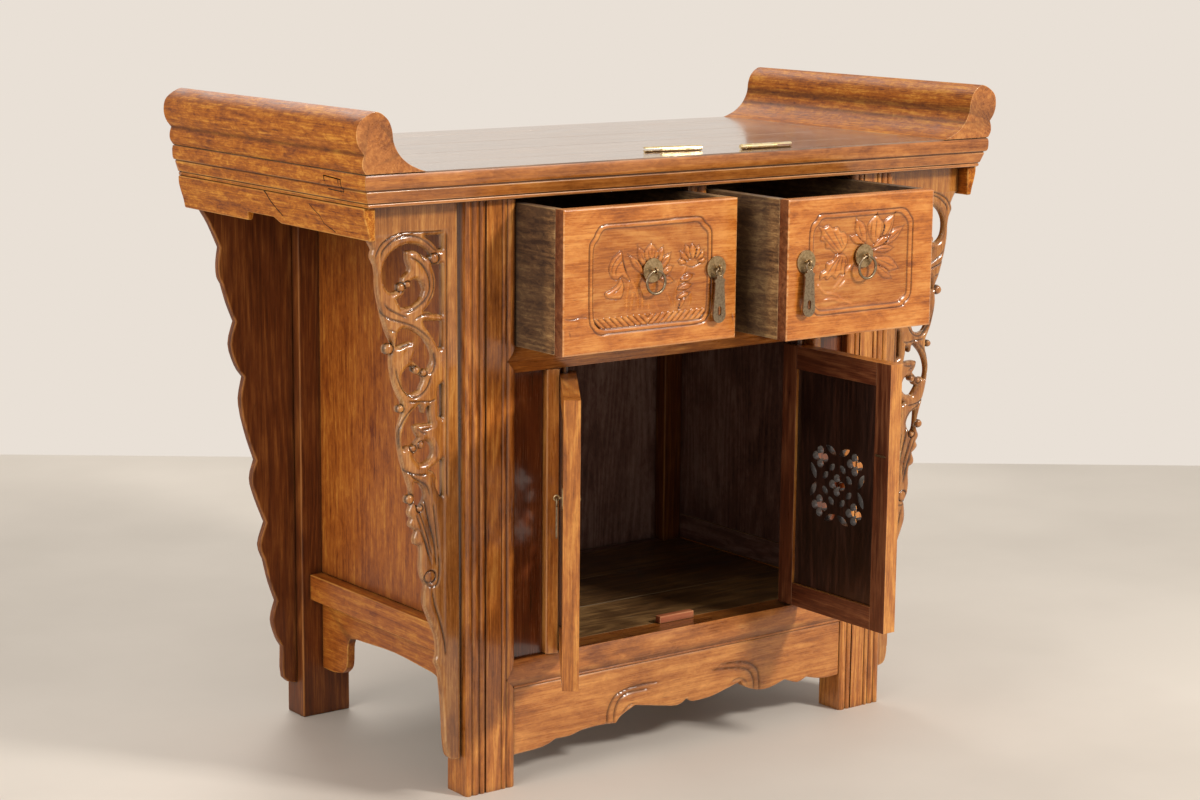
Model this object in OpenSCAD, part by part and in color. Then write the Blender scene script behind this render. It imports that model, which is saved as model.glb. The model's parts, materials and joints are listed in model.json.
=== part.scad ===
// Altar cabinet with two drawers, two pivoted doors, pierced spandrels and everted flanges.
// X runs to the right, Y to the back and Z up; the front faces of the front legs are at y 0 as drawn.
// Every piece is then moved back so that the origin lies under the middle of the whole.

/* [Legs] */
// Distance over the outer faces of the legs, left to right
leg_span = 704; // [640:1:800]
// Distance from the front legs' front faces to the rear legs' backs
leg_depth = 447; // [400:1:520]
// Height of the legs, up to the underside of the top
leg_h = 756; // [720:1:820]
// Width of a leg, left to right
leg_w = 74; // [64:1:84]
// Thickness of a leg, front to back
leg_t = 43; // [36:1:52]
// Height of the reeds on the front legs
reed_h = 3; // [1:0.5:4]

/* [Top] */
// Thickness of the top's frame
top_t = 41; // [34:1:50]
// How far the lower band reaches past the legs' outer faces
top_overhang = 149; // [140:1:170]
// How far the lower band stands in front of the legs
top_front = 15; // [8:1:24]
// How far the top's plain back edge stands behind the legs
top_back = 8.5; // [0:0.5:20]
// Height of the lower band
band_h = 20; // [16:1:22]
// How far the upper band stands out from the foot of the lower one
crown_out = 8.5; // [6:0.5:12]
// Width of the frame at the front and the ends
frame_w = 90; // [84:1:104]
// Width of the frame at the back
back_frame_w = 60; // [50:1:80]
// Number of boards in the field of the top
board_count = 3; // [2:1:5]
// Thickness of those boards
board_t = 14; // [10:1:18]
// Height and width of the battens under the boards
batten = 20; // [14:1:22]

/* [Flanges and cleats] */
// Height of the everted flanges above the table surface
flange_h = 73; // [60:1:90]
// Width of a flange's foot on the table
flange_foot = 84; // [72:1:88]
// How far the scroll reaches out past the foot
flange_out = 13; // [6:1:20]
// Thickness of the cleats under the ends
cleat_t = 16; // [12:1:20]
// How far the cleats' front ends stand in front of the legs
cleat_front = 8; // [4:0.5:10]
// How far the cleats reach down below the top
cleat_drop = 43; // [34:1:52]

/* [Rails and panels] */
// Height of the drawer rail
drawer_rail_h = 34; // [28:1:40]
// Height of the underside of the bottom rail
bottom_rail_z = 129; // [118:1:150]
// Height of the bottom rail
bottom_rail_h = 36; // [30:1:42]
// Depth of the front rails, front to back
rail_d = 44; // [36:1:52]
// Width of the pointed lap of a rail's end on the leg
rail_lap = 12; // [6:1:16]
// Depth of that lap
lap_d = 8; // [6:1:12]
// Distance from the middle of the cabinet to the middle of the drawer post
post_x = 10.5; // [-20:0.5:20]
// Width of the drawer post
post_w = 31; // [24:1:40]
// Width of the inner stiles beside the doors
inner_stile_w = 18.5; // [14:0.5:24]
// Thickness of panels, back boards and bottom boards
panel_t = 12; // [9:1:15]
// Distance from a side panel's outer face to the leg's outer face
side_inset = 31; // [24:1:40]
// Height of the side rails
side_rail_h = 36; // [28:1:44]
// Height of the rear rails
back_rail_h = 36; // [28:1:44]
// Thickness of the rear rails
back_rail_t = 27; // [20:1:34]
// Distance of the back boards in front of the legs' backs
back_in = 10; // [4:1:16]
// Thickness of the front apron
apron_t = 14; // [10:1:18]
// Distance of the front apron behind the legs' front faces
apron_in = 3; // [3:1:10]

/* [Spandrels] */
// Height of a spandrel
spandrel_h = 706; // [680:1:715]
// Thickness of a spandrel
spandrel_t = 10; // [8:1:16]
// Distance of its face behind the legs' front faces
spandrel_in = 10; // [6:1:18]
// Thickness of a rear wing
wing_t = 12; // [9:1:16]
// Distance of a rear wing in front of the legs' backs
wing_in = 15; // [8:1:22]

/* [Doors] */
// Distance from the middle of the cabinet to the middle of the door opening
door_mid = 3; // [-10:0.5:10]
// Width of the door opening
opening_w = 421; // [380:1:440]
// Height of a door
door_h = 360; // [300:1:400]
// Thickness of a door's frame
door_t = 20.5; // [16:0.5:26]
// Width of the stiles of a door
door_stile_w = 27; // [22:1:36]
// Height of the rails of a door
door_rail_h = 31; // [22:1:36]
// Thickness of a door's panel
door_panel_t = 10; // [6:1:12]
// Gap under a door
door_under = 3; // [2:0.5:4]
// Gap above a door
door_over = 8; // [6:1:10]
// Distance of a closed door's face behind the legs' front faces
door_in = 8; // [7:0.5:12]
// Distance of a pivot from the door's hinge edge
pivot_edge = 14; // [12:0.5:18]
// Distance of a pivot from the door's outer face
pivot_face = 6; // [5.5:0.5:8]
// Radius of the pivot pegs
peg_r = 5; // [3:0.5:5]
// Radius of the pierced round of a door's panel
medallion_r = 58; // [48:1:64]
// Distance of a door's pull from the door's free edge
pull_in = 15; // [13:0.5:18]

/* [Drawers] */
// Length of a drawer from front to back
drawer_l = 385; // [300:1:400]
// Gap above a drawer's front
drawer_over = 7; // [2:1:14]
// Thickness of a drawer's front
front_t = 17; // [12:1:22]
// Thickness of a drawer's sides and back
wall_t = 12; // [9:1:16]
// Thickness of a drawer's bottom
bottom_t = 8; // [6:1:12]
// Distance of a closed drawer's face behind the legs' front faces
drawer_in = 2; // [0:0.5:8]

/* [Hardware] */
// Diameter of the round plates
plate_d = 30; // [24:1:36]
// Radius of a ring's centre line
ring_r = 14.2; // [11:0.1:18]
// Radius of the wire of rings and eyes
wire_r = 1.3; // [1:0.1:1.6]
// Length of a hasp below its pivot
hasp_l = 69; // [56:1:80]
// Width of a hasp near its end
hasp_w = 20; // [14:1:24]
// Length of a door pull below its pivot
pull_l = 50; // [40:1:64]
// Width of a door pull
pull_w = 12; // [8:1:16]
// Radius of a lock pin
pin_r = 3.6; // [2.5:0.1:4.5]
// Length of a lock pin
pin_l = 82; // [60:1:110]

/* [Pose in which it stands] */
// Angle at which the left door stands open
left_door_open = 124.6; // [91:0.1:126]
// Angle at which the right door stands open
right_door_open = 90.7; // [88:0.1:100]
// How far the left drawer is pulled out
left_drawer_out = 99; // [0:1:160]
// How far the right drawer is pulled out
right_drawer_out = 159; // [0:1:160]

/* [Hidden] */
$fn = 48;
LEFT = -1;
RIGHT = 1;
// Gaps: round pegs, beside and between the doors, round the drawers, and at joints within a piece
peg_gap = 0.05;
door_gap = 0.5;
meet_gap = 1;
joint_gap = 0.1;
board_gap = 0.4;
drawer_gap = 1;
slide_gap = 0.3;
far = 2000;
hair = 0.01;

// Places worked out from the sizes above
leg_out = leg_span / 2;
leg_in = leg_out - leg_w;
rear_y = leg_depth - leg_t;
table_z = leg_h + top_t;
band_x = leg_out + top_overhang;
top_x = band_x + crown_out;
top_y0 = -top_front - crown_out;
top_y1 = leg_depth + top_back;
field_x = top_x - frame_w;
field_y0 = top_y0 + frame_w;
field_y1 = top_y1 - back_frame_w;
sill_z = bottom_rail_z + bottom_rail_h;
door_z = sill_z + door_under;
drawer_rail_z = door_z + door_h + door_over;
drawer_floor_z = drawer_rail_z + drawer_rail_h;
panel_x = leg_out - side_inset;
side_rail_z = sill_z + 2;
back_y = leg_depth - back_in - panel_t;
back_rail_y = leg_depth - back_in - back_rail_t;
spandrel_y = spandrel_in + spandrel_t;
cleat_x = band_x + 1;
spandrel_w = cleat_x - cleat_t - leg_out;
wing_y = leg_depth - wing_in - wing_t;
post_left = post_x - post_w / 2;
post_right = post_x + post_w / 2;

// Tongues of the boards in the frame of the top
tongue = 8;
tongue_z0 = table_z - board_t + 4;
tongue_z1 = table_z - 4;

// Heights of the ridges on the two front rails, above the rails' undersides
drawer_ridge = drawer_rail_h * 0.47;
bottom_ridge = bottom_rail_h * 0.36;

// Tenons of the legs in the top
tenon_x = leg_w * 0.55;
tenon_y = leg_t * 0.5;
tenon_h = top_t * 0.5;

// Doors
door_w = opening_w / 2 - door_gap - meet_gap;
pivot_x = opening_w / 2 - door_gap - pivot_edge;
pivot_y = door_in + pivot_face;
peg_deep = 13;
panel_set = 6;
medallion_z = door_z + door_h / 2 + 2;
medallion_u = door_w / 2 + 3;
pull_u = door_w - pull_in;
pull_z = door_z + door_h * 0.66;

// Drawers
drawer_z = drawer_floor_z + slide_gap;
drawer_top = leg_h - drawer_over;
drawer_h = drawer_top - drawer_z;
left_drawer_x0 = -leg_in + drawer_gap;
left_drawer_x1 = post_left - drawer_gap;
right_drawer_x0 = post_right + drawer_gap;
right_drawer_x1 = leg_in - drawer_gap;
floor_up = 7;
runner_h = 17;
runner_w = 54;
guide_h = 30;

// Hardware
plate_t = 1.5;
eye_r = wire_r + 1.8;
eye_out = plate_t + 6;
shank_r = 1.5;
tail_l = 9;
tail_t = 1.2;
hasp_t = 2.2;
loop_r = 5;
LEFT_PIN_AT = [32, 27];
RIGHT_PIN_AT = [86, 8];
left_pin_turn = 170;
right_pin_turn = -2;

// Front edge of the right door's free corner, which stands foremost
door_front = pivot_y - (door_w - pivot_edge) * sin(right_door_open)
    + (door_t - pivot_face) * cos(right_door_open);
mid_y = (top_y1 + door_front) / 2;

// Outlines of the carved boards were drawn at these sizes and are scaled to the sizes above
drawn_w = 134;
drawn_h = 706;
drawn_top = 756;
drawn_leg_in = 278;
drawn_leg_t = 43;
drawn_side = 361;
drawn_rail_z = 129;

// Outer edge of a spandrel: distance from the leg and height, from the ear down, in smooth runs
SPANDREL_EDGE = [
    [[134, 756], [134, 718]],
    [[134, 718], [129, 711], [125, 703]],
    [[125, 703], [127, 695], [122, 684]],
    [[122, 684], [120, 672], [120, 660], [118, 645], [114, 628], [110, 614], [105, 600], [98, 587]],
    [[98, 587], [101, 568], [100, 556], [97, 541], [92, 528], [85, 515]],
    [[85, 515], [84, 505], [85, 497]],
    [[85, 497], [89, 487], [91, 475], [90, 462], [87, 446], [83, 432], [79, 420], [75, 408], [73, 400]],
    [[73, 400], [72, 388], [76, 379]],
    [[76, 379], [76, 374], [72, 368]],
    [[72, 368], [75, 361], [70, 355], [65, 352]],
    [[65, 352], [69, 342], [67, 335], [60, 332]],
    [[60, 332], [59, 322], [60, 308], [58, 294], [52, 282]],
    [[52, 282], [54, 270], [54, 257], [50, 245], [44, 231], [38, 216], [35, 202], [35, 188]],
    [[35, 188], [38, 180], [33, 170], [30, 150], [28, 130], [26, 100], [25, 78], [21, 56], [12, 50], [0, 50]]
];

// Berries standing out of that edge: distance from the leg, height and radius
SPANDREL_BERRIES = [[104, 582, 7], [88, 507, 5], [75, 393, 6]];

// Holes pierced through a spandrel, each in smooth runs with corners where two of them meet
SPANDREL_HOLES = [
    [[[51, 715], [27, 715]], [[27, 715], [27, 698]], [[27, 698], [31, 697], [37, 704], [44, 710], [51, 715]]],
    [[[43, 692], [50, 699], [60, 704], [70, 706], [79, 706], [89, 703], [98, 698], [105, 691], [110, 681],
        [111, 670], [109, 660], [104, 653], [99, 650]],
        [[99, 650], [94, 650], [91, 652]], [[91, 652], [91, 658], [87, 661], [84, 660]],
        [[84, 660], [83, 666], [79, 670], [75, 673]], [[75, 673], [74, 678], [77, 685], [78, 692], [78, 698]],
        [[78, 698], [70, 699], [62, 697], [54, 692], [46, 688]], [[46, 688], [45, 690], [43, 692]]],
    [[[74, 655], [72, 660], [67, 663], [60, 661], [55, 656], [53, 649], [56, 641], [62, 635], [70, 631],
        [78, 630], [85, 631]],
        [[85, 631], [88, 636], [91, 641]], [[91, 641], [86, 642], [81, 646], [80, 650]],
        [[80, 650], [77, 653], [74, 655]]],
    [[[27, 679], [41, 679]], [[41, 679], [38, 672], [35, 663], [35, 653], [37, 643], [41, 635], [47, 628], [52, 624]],
        [[52, 624], [44, 622], [37, 619], [31, 618], [27, 617]], [[27, 617], [27, 679]]],
    [[[27, 609], [38, 610], [53, 611]], [[53, 611], [50, 604], [44, 597], [38, 588], [33, 580], [31, 577]],
        [[31, 577], [27, 577]], [[27, 577], [27, 609]]],
    [[[90, 598], [84, 604], [76, 603], [66, 599], [56, 592], [48, 583], [43, 574], [41, 565], [43, 557], [48, 551]],
        [[48, 551], [52, 553], [56, 552]], [[56, 552], [60, 556], [65, 561], [70, 565]],
        [[70, 565], [67, 572], [65, 580], [66, 588]], [[66, 588], [75, 588], [85, 585], [93, 584]],
        [[93, 584], [92, 590], [90, 598]]],
    [[[80, 553], [75, 557], [70, 557]], [[70, 557], [70, 551], [64, 547], [58, 545]],
        [[58, 545], [54, 540], [57, 533], [60, 527]],
        [[60, 527], [68, 524], [77, 525], [83, 532], [85, 541], [84, 548], [80, 553]]],
    [[[27, 532], [31, 529], [33, 520], [32, 505], [32, 493]], [[32, 493], [27, 490]], [[27, 490], [27, 532]]],
    [[[60, 509], [57, 505], [56, 499], [52, 497], [50, 503], [46, 506]], [[46, 506], [46, 496], [43, 484]],
        [[43, 484], [52, 485], [62, 485], [68, 483]], [[68, 483], [66, 475], [61, 468]],
        [[61, 468], [67, 462], [72, 459]], [[72, 459], [78, 460], [83, 457]],
        [[83, 457], [85, 466], [84, 476], [80, 487], [74, 496], [67, 503], [60, 509]]],
    [[[52, 463], [46, 461], [42, 454], [42, 445], [47, 439], [54, 436], [60, 436]], [[60, 436], [65, 442], [69, 448]],
        [[69, 448], [64, 450], [61, 454]], [[61, 454], [55, 457], [52, 463]]],
    [[[27, 438], [31, 435], [38, 431], [46, 426]], [[46, 426], [40, 424], [37, 420]],
        [[37, 420], [35, 414], [37, 408], [34, 400], [30, 392]], [[30, 392], [27, 391]], [[27, 391], [27, 438]]],
    [[[68, 413], [61, 411], [56, 405], [53, 397], [55, 388], [61, 381]], [[61, 381], [65, 385], [67, 393], [68, 413]]]
];

// Outer edge of a rear wing: distance from the leg and height, from the cleat down
WING_EDGE = [
    [[134, 756], [134, 712]],
    [[134, 712], [122, 692], [108, 661]],
    [[108, 661], [111, 640], [110, 622], [105, 612]],
    [[105, 612], [97, 585], [87, 560]],
    [[87, 560], [95, 530], [86, 500], [75, 484]],
    [[75, 484], [81, 455], [78, 430]],
    [[78, 430], [70, 400], [59, 368]],
    [[59, 368], [66, 343], [59, 315], [45, 280]],
    [[45, 280], [55, 250], [48, 228]],
    [[48, 228], [40, 195], [30, 167]],
    [[30, 167], [37, 141], [30, 115], [22, 101]],
    [[22, 101], [21, 57], [0, 46]]
];

// Lower edge of the front apron from the left leg to the right one
APRON_EDGE = [
    [[-278, 41], [-232, 43], [-211, 50]],
    [[-211, 50], [-187, 50], [-168, 54], [-138, 55], [-113, 53]],
    [[-113, 53], [-104, 62], [-82, 72]],
    [[-82, 72], [-46, 65], [-10, 59], [6, 66]],
    [[6, 66], [16, 60], [48, 61], [75, 67], [100, 73]],
    [[100, 73], [108, 64], [129, 56], [152, 55], [179, 62]],
    [[179, 62], [202, 54], [218, 59]],
    [[218, 59], [247, 52], [278, 52]]
];

// Lower edge of a side apron: distance from the front face of the front leg and height
SIDE_APRON_EDGE = [
    [[43, 67], [70, 67], [96, 72]],
    [[96, 72], [107, 84], [108, 111]],
    [[108, 111], [118, 125], [148, 128]],
    [[148, 128], [220, 132], [299, 128]],
    [[299, 128], [329, 125], [337, 111]],
    [[337, 111], [339, 84], [350, 72]],
    [[350, 72], [376, 67], [404, 67]]
];

// Point at share t between b and c, on the smooth curve that also passes a and d
function between(a, b, c, d, t) =
    0.5 * (2 * b + (c - a) * t + (2 * a - 5 * b + 4 * c - d) * t * t + (3 * b - a - 3 * c + d) * t * t * t);

// Smooth open curve through points p, without its last point
function curve(p, steps = 3) = [
    for (i = [0 : len(p) - 2], k = [0 : steps - 1])
        between(p[max(i - 1, 0)], p[i], p[i + 1], p[min(i + 2, len(p) - 1)], k / steps)
];

// Last point of the last of several runs
function end_of(runs) = let (last = runs[len(runs) - 1]) last[len(last) - 1];

// Several smooth runs one after another, with a corner where two of them meet
function edge(runs, steps = 3) = [for (run = runs) each curve(run, steps)];

// Points moved from drawn sizes to the sizes above: those of spandrels and wings, then of the aprons
function on_spandrel(p) = [
    for (q = p) [q.x * spandrel_w / drawn_w, leg_h - (drawn_top - q.y) * spandrel_h / drawn_h]
];
function board_outline(runs, foot) =
    concat([for (run = runs) each curve(on_spandrel(run))], on_spandrel([[0, foot], [0, drawn_top]]));
function on_apron(p) = [for (q = p) [q.x * leg_in / drawn_leg_in, q.y * bottom_rail_z / drawn_rail_z]];
function on_side(p) = [
    for (q = p) [leg_t + (q.x - drawn_leg_t) * (rear_y - leg_t) / drawn_side, q.y * bottom_rail_z / drawn_rail_z]
];

// Moves a piece from the drawing's axes to the frame whose origin lies under the middle
module placed() {
    translate([0, -mid_y, 0])
        children();
}

// Prism along X from x0 to x1 whose section is drawn as y and z
module run_x(x0, x1) {
    translate([x0, 0, 0])
        rotate([90, 0, 90])
            linear_extrude(x1 - x0)
                children();
}

// Prism along Y from y0 to y1 whose section is drawn as x and z
module run_y(y0, y1) {
    translate([0, y1, 0])
        rotate([90, 0, 0])
            linear_extrude(y1 - y0)
                children();
}

// What is drawn on the right, kept there or mirrored to the left
module to_side(side) {
    mirror([side == LEFT ? 1 : 0, 0, 0])
        children();
}

// Box between two corners
module box(a, b) {
    translate(a)
        cube(b - a);
}

// Bead of the reeded face between the shares a and b of a leg's width
module reed(a, b) {
    w = (b - a) * leg_w;
    r = (w * w / 4 + reed_h * reed_h) / (2 * reed_h);
    intersection() {
        translate([a * leg_w, 0])
            square([w, reed_h + 1]);
        translate([(a + b) / 2 * leg_w, r])
            circle(r);
    }
}

// Section of a front leg from its outer edge inwards: five reeds beside a flat
module reeded_section() {
    groove_y = reed_h - 0.4;
    translate([0, groove_y])
        square([leg_w, leg_t - groove_y]);
    reed(0, 0.13);
    reed(0.13, 0.27);
    reed(0.28, 0.39);
    translate([0.41 * leg_w, 0.5])
        square([0.30 * leg_w, reed_h]);
    reed(0.72, 0.83);
    reed(0.83, 1);
}

// Tenon on the top of a leg whose middle lies at x, y
module leg_tenon(x, y) {
    box([x - tenon_x / 2, y - tenon_y / 2, leg_h - 1], [x + tenon_x / 2, y + tenon_y / 2, leg_h + tenon_h]);
}

// Pointed end of a front rail that laps on the leg
module rail_point(z, h, ridge) {
    run_y(-1, lap_d)
        polygon([[leg_in - hair, z], [leg_in + rail_lap, z + ridge], [leg_in - hair, z + h]]);
}

// Front rail with a ridged face and a pointed lap on each leg. Above and below its ridge the face
// slopes back by nose_top and nose_bottom.
module ridged_rail(z, h, ridge, nose_top, nose_bottom) {
    section = [[0, z + ridge], [nose_top, z + h], [rail_d, z + h], [rail_d, z], [nose_bottom, z]];
    run_x(-leg_in, leg_in)
        polygon(section);
    for (side = [LEFT, RIGHT])
        to_side(side)
            intersection() {
                run_x(leg_in - hair, leg_in + rail_lap)
                    polygon(section);
                rail_point(z, h, ridge);
            }
}

module front_leg(side) {
    to_side(side)
        difference() {
            union() {
                translate([leg_out, 0, 0])
                    mirror([1, 0, 0])
                        linear_extrude(leg_h)
                            reeded_section();
                leg_tenon(leg_out - leg_w / 2, leg_t / 2);
            }
            rail_point(drawer_rail_z, drawer_rail_h, drawer_ridge);
            rail_point(bottom_rail_z, bottom_rail_h, bottom_ridge);
        }
}

module rear_leg(side) {
    to_side(side) {
        box([leg_in, rear_y, 0], [leg_out, leg_depth, leg_h]);
        leg_tenon(leg_out - leg_w / 2, leg_depth - leg_t / 2);
    }
}

// Line of the top's edge from its foot up: distance out from the foot of the lower band and height. A bead
// runs along the foot, the lower band leans out from it, and a groove parts that from the upper band.
function edge_line() =
    let (c = crown_out, b = band_h, t = top_t)
    [[-2, 0], [-0.5, 1], [-0.5, 4], [-1.5, 5], [0.5, 6], [0.55 * c, b - 1], [0.45 * c, b], [0.45 * c, b + 1],
        [0.8 * c, b + 2], [0.95 * c, b + 5], [c, b + 10], [c, t - 5], [c - 1, t - 1.5], [c - 3, t]];

// Whole block of the top's frame, moulded at the front and the ends and plain at the back
module top_block() {
    line = edge_line();
    last = len(line) - 1;
    intersection() {
        run_x(-top_x, top_x)
            polygon(concat([[top_y1, leg_h]], [for (p = line) [-top_front - p.x, leg_h + p.y]],
                [[top_y1, table_z]]));
        run_y(top_y0, top_y1)
            polygon(concat([for (p = line) [band_x + p.x, leg_h + p.y]],
                [for (i = [0 : last]) [-band_x - line[last - i].x, leg_h + line[last - i].y]]));
    }
}

// Field of the top within its frame, reaching grow past it, between two heights
module field(grow, z0, z1) {
    box([-field_x - grow, field_y0 - grow, z0], [field_x + grow, field_y1 + grow, z1]);
}

// Part of the top's frame inside the plan outline, grooved for the boards and mortised for the legs
module frame_piece(outline) {
    difference() {
        intersection() {
            top_block();
            translate([0, 0, leg_h - 1])
                linear_extrude(top_t + 2)
                    polygon(outline);
        }
        field(tongue, tongue_z0, tongue_z1);
        for (side = [LEFT, RIGHT])
            for (y = [leg_t / 2, leg_depth - leg_t / 2])
                to_side(side)
                    leg_tenon(leg_out - leg_w / 2, y);
    }
}

module top_front_piece() {
    frame_piece([[-top_x, top_y0], [top_x, top_y0], [field_x, field_y0], [-field_x, field_y0]]);
}

module top_back_piece() {
    frame_piece([[-top_x, top_y1], [top_x, top_y1], [field_x, field_y1], [-field_x, field_y1]]);
}

module top_end(side) {
    frame_piece([[side * top_x, top_y0], [side * top_x, top_y1],
        [side * field_x, field_y1], [side * field_x, field_y0]]);
}

// Boards of the table, tongued into the frame all round
module boards() {
    board_w = (field_y1 - field_y0) / board_count;
    for (i = [0 : board_count - 1]) {
        first = i == 0 ? tongue : 0;
        last = i == board_count - 1 ? tongue : 0;
        y0 = field_y0 + i * board_w + (i == 0 ? 0 : board_gap);
        y1 = field_y0 + (i + 1) * board_w;
        box([-field_x, y0, table_z - board_t], [field_x, y1, table_z]);
        box([-field_x - tongue, y0 - first, tongue_z0], [field_x + tongue, y1 + last, tongue_z1]);
    }
}

module battens() {
    for (i = [-1 : 1])
        box([i * field_x / 2 - batten / 2, field_y0, table_z - board_t - batten],
            [i * field_x / 2 + batten / 2, field_y1, table_z - board_t]);
}

// Everted flange: a concave rise from the table to an outward scroll, with a bulge below it
module flange(side) {
    w = flange_foot / 84;
    h = flange_h / 73;
    o = flange_out;
    rise = [[-84 * w, 0], [-72 * w, 4 * h], [-58 * w, 11 * h], [-46 * w, 22 * h], [-38.5 * w, 36 * h],
        [-36 * w, 52 * h], [-29 * w, 65 * h], [-13, 73 * h], [o - 5, 62 * h], [o, 47 * h], [o - 3, 33 * h],
        [o - 10.5, 23 * h]];
    bulge = [[o - 10.5, 23 * h], [5, 15 * h], [4.5, 7 * h], [0, 0]];
    to_side(side)
        run_y(top_y0, top_y1)
            translate([top_x - 1.5, table_z])
                polygon(concat(curve(rise, 4), curve(bulge, 4), [[0, 0]]));
}

// Bracket under the table's end, curved on the outside and stepped along its lower edge
module cleat(side) {
    d = cleat_drop;
    y0 = -cleat_front;
    y1 = leg_depth + 8;
    face = [[0, 0], [-0.5, -0.24 * d], [-3.5, -0.5 * d], [-6.5, -0.72 * d], [-9, -d]];
    step_y = y0 + (y1 - y0) * 0.56;
    to_side(side)
        intersection() {
            run_y(y0, y1)
                translate([cleat_x, leg_h])
                    polygon(concat(curve(face), [[-9, -d], [-cleat_t, -d], [-cleat_t, 0]]));
            run_x(0, far)
                polygon([[y0, leg_h], [y0, leg_h - d * 0.93], [step_y - 50, leg_h - d * 0.91],
                    [step_y - 34, leg_h - d * 0.75], [step_y + 30, leg_h - d * 0.75],
                    [step_y + 34, leg_h - d], [y1, leg_h - d], [y1, leg_h]]);
        }
}

// Post between the drawers, with two round beads down its face
module post() {
    face_y = 4;
    bead_r = post_w * 0.2;
    box([post_left, face_y, drawer_floor_z], [post_right, rail_d, leg_h]);
    for (x = [post_left + post_w / 4, post_right - post_w / 4])
        translate([x, face_y + bead_r * 0.4, drawer_floor_z])
            cylinder(r = bead_r, h = leg_h - drawer_floor_z);
}

// Bore for a door's peg at height z
module peg_bore(side, z) {
    translate([door_mid + side * pivot_x, pivot_y, z])
        cylinder(r = peg_r + peg_gap, h = peg_deep);
}

module front_drawer_rail() {
    difference() {
        ridged_rail(drawer_rail_z, drawer_rail_h, drawer_ridge, nose_top = 7, nose_bottom = 6);
        for (side = [LEFT, RIGHT])
            translate([0, 0, -hair])
                peg_bore(side, drawer_rail_z);
    }
}

module front_bottom_rail() {
    foot_bead_r = 2;
    difference() {
        union() {
            ridged_rail(bottom_rail_z, bottom_rail_h, bottom_ridge, nose_top = 8, nose_bottom = 4);
            run_x(-leg_in, leg_in)
                translate([2 * foot_bead_r, bottom_rail_z + foot_bead_r])
                    circle(foot_bead_r);
        }
        for (side = [LEFT, RIGHT])
            translate([0, 0, hair])
                peg_bore(side, sill_z - peg_deep);
    }
}

// Shaped apron under the bottom rail
module apron() {
    runs = [for (run = APRON_EDGE) on_apron(run)];
    run_y(apron_in, apron_in + apron_t)
        polygon(concat(edge(runs), [end_of(runs), [leg_in, bottom_rail_z], [-leg_in, bottom_rail_z]]));
}

// Stile beside the doors, ridged in front and bevelled where the open door passes
module inner_stile(side) {
    x0 = opening_w / 2;
    x1 = x0 + inner_stile_w;
    y1 = door_in + door_t + 4;
    ridge = [x0 + 3, 0.5];
    translate([door_mid, 0, 0])
        to_side(side)
            translate([0, 0, sill_z])
                linear_extrude(drawer_rail_z - sill_z)
                    polygon([ridge, [x0, ridge.y + 5], [x0, y1], [x1, y1], [x1, ridge.y + 5.5]]);
}

// Narrow fixed panel between a leg and the inner stile
module fixed_panel(side) {
    x0 = side * door_mid + opening_w / 2 + inner_stile_w;
    y0 = door_in + panel_set;
    to_side(side)
        box([x0, y0, sill_z], [leg_in, y0 + panel_t, drawer_rail_z]);
}

module side_panel(side) {
    to_side(side)
        box([panel_x - panel_t, leg_t, side_rail_z + side_rail_h], [panel_x, rear_y, leg_h - side_rail_h]);
}

// Upper and lower rail between the legs of one side
module side_rails(side) {
    for (z = [side_rail_z, leg_h - side_rail_h])
        to_side(side)
            box([panel_x - panel_t, leg_t, z], [leg_out - panel_t, rear_y, z + side_rail_h]);
}

module side_apron(side) {
    runs = [for (run = SIDE_APRON_EDGE) on_side(run)];
    to_side(side)
        run_x(panel_x - panel_t, panel_x)
            polygon(concat(edge(runs), [end_of(runs), [rear_y, side_rail_z], [leg_t, side_rail_z]]));
}

module back_panel() {
    for (i = [0 : 2])
        box([-leg_in + i * leg_in * 2 / 3 + (i == 0 ? 0 : board_gap), back_y, sill_z],
            [-leg_in + (i + 1) * leg_in * 2 / 3, back_y + panel_t, leg_h - back_rail_h]);
}

module rear_rails() {
    for (z = [sill_z - back_rail_h, leg_h - back_rail_h])
        box([-leg_in, back_rail_y, z], [leg_in, back_y + panel_t, z + back_rail_h]);
}

// Floor boards of the cupboard, between the front rail and the rear one
module floor_boards() {
    half = panel_x - panel_t;
    board_d = (back_rail_y - rail_d) / 3;
    difference() {
        for (i = [0 : 2])
            box([-half, rail_d + i * board_d + (i == 0 ? 0 : board_gap), sill_z - panel_t],
                [half, rail_d + (i + 1) * board_d, sill_z]);
        for (side = [LEFT, RIGHT])
            to_side(side)
                box([leg_in, rear_y, 0], [leg_out, leg_depth, leg_h]);
    }
}

// Bearers under the drawers' sides, with a guide standing on each
module runners() {
    z0 = drawer_floor_z - runner_h;
    for (side = [LEFT, RIGHT])
        to_side(side) {
            box([panel_x - panel_t - runner_w, rail_d, z0], [panel_x - panel_t, rear_y, drawer_floor_z]);
            box([leg_in, rail_d, drawer_floor_z], [panel_x - panel_t, rear_y, drawer_floor_z + guide_h]);
        }
    box([post_left - runner_w / 2, rail_d, z0], [post_right + runner_w / 2, back_y, drawer_floor_z]);
    box([post_left, rail_d, drawer_floor_z], [post_right, back_y, drawer_floor_z + guide_h]);
}

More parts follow.
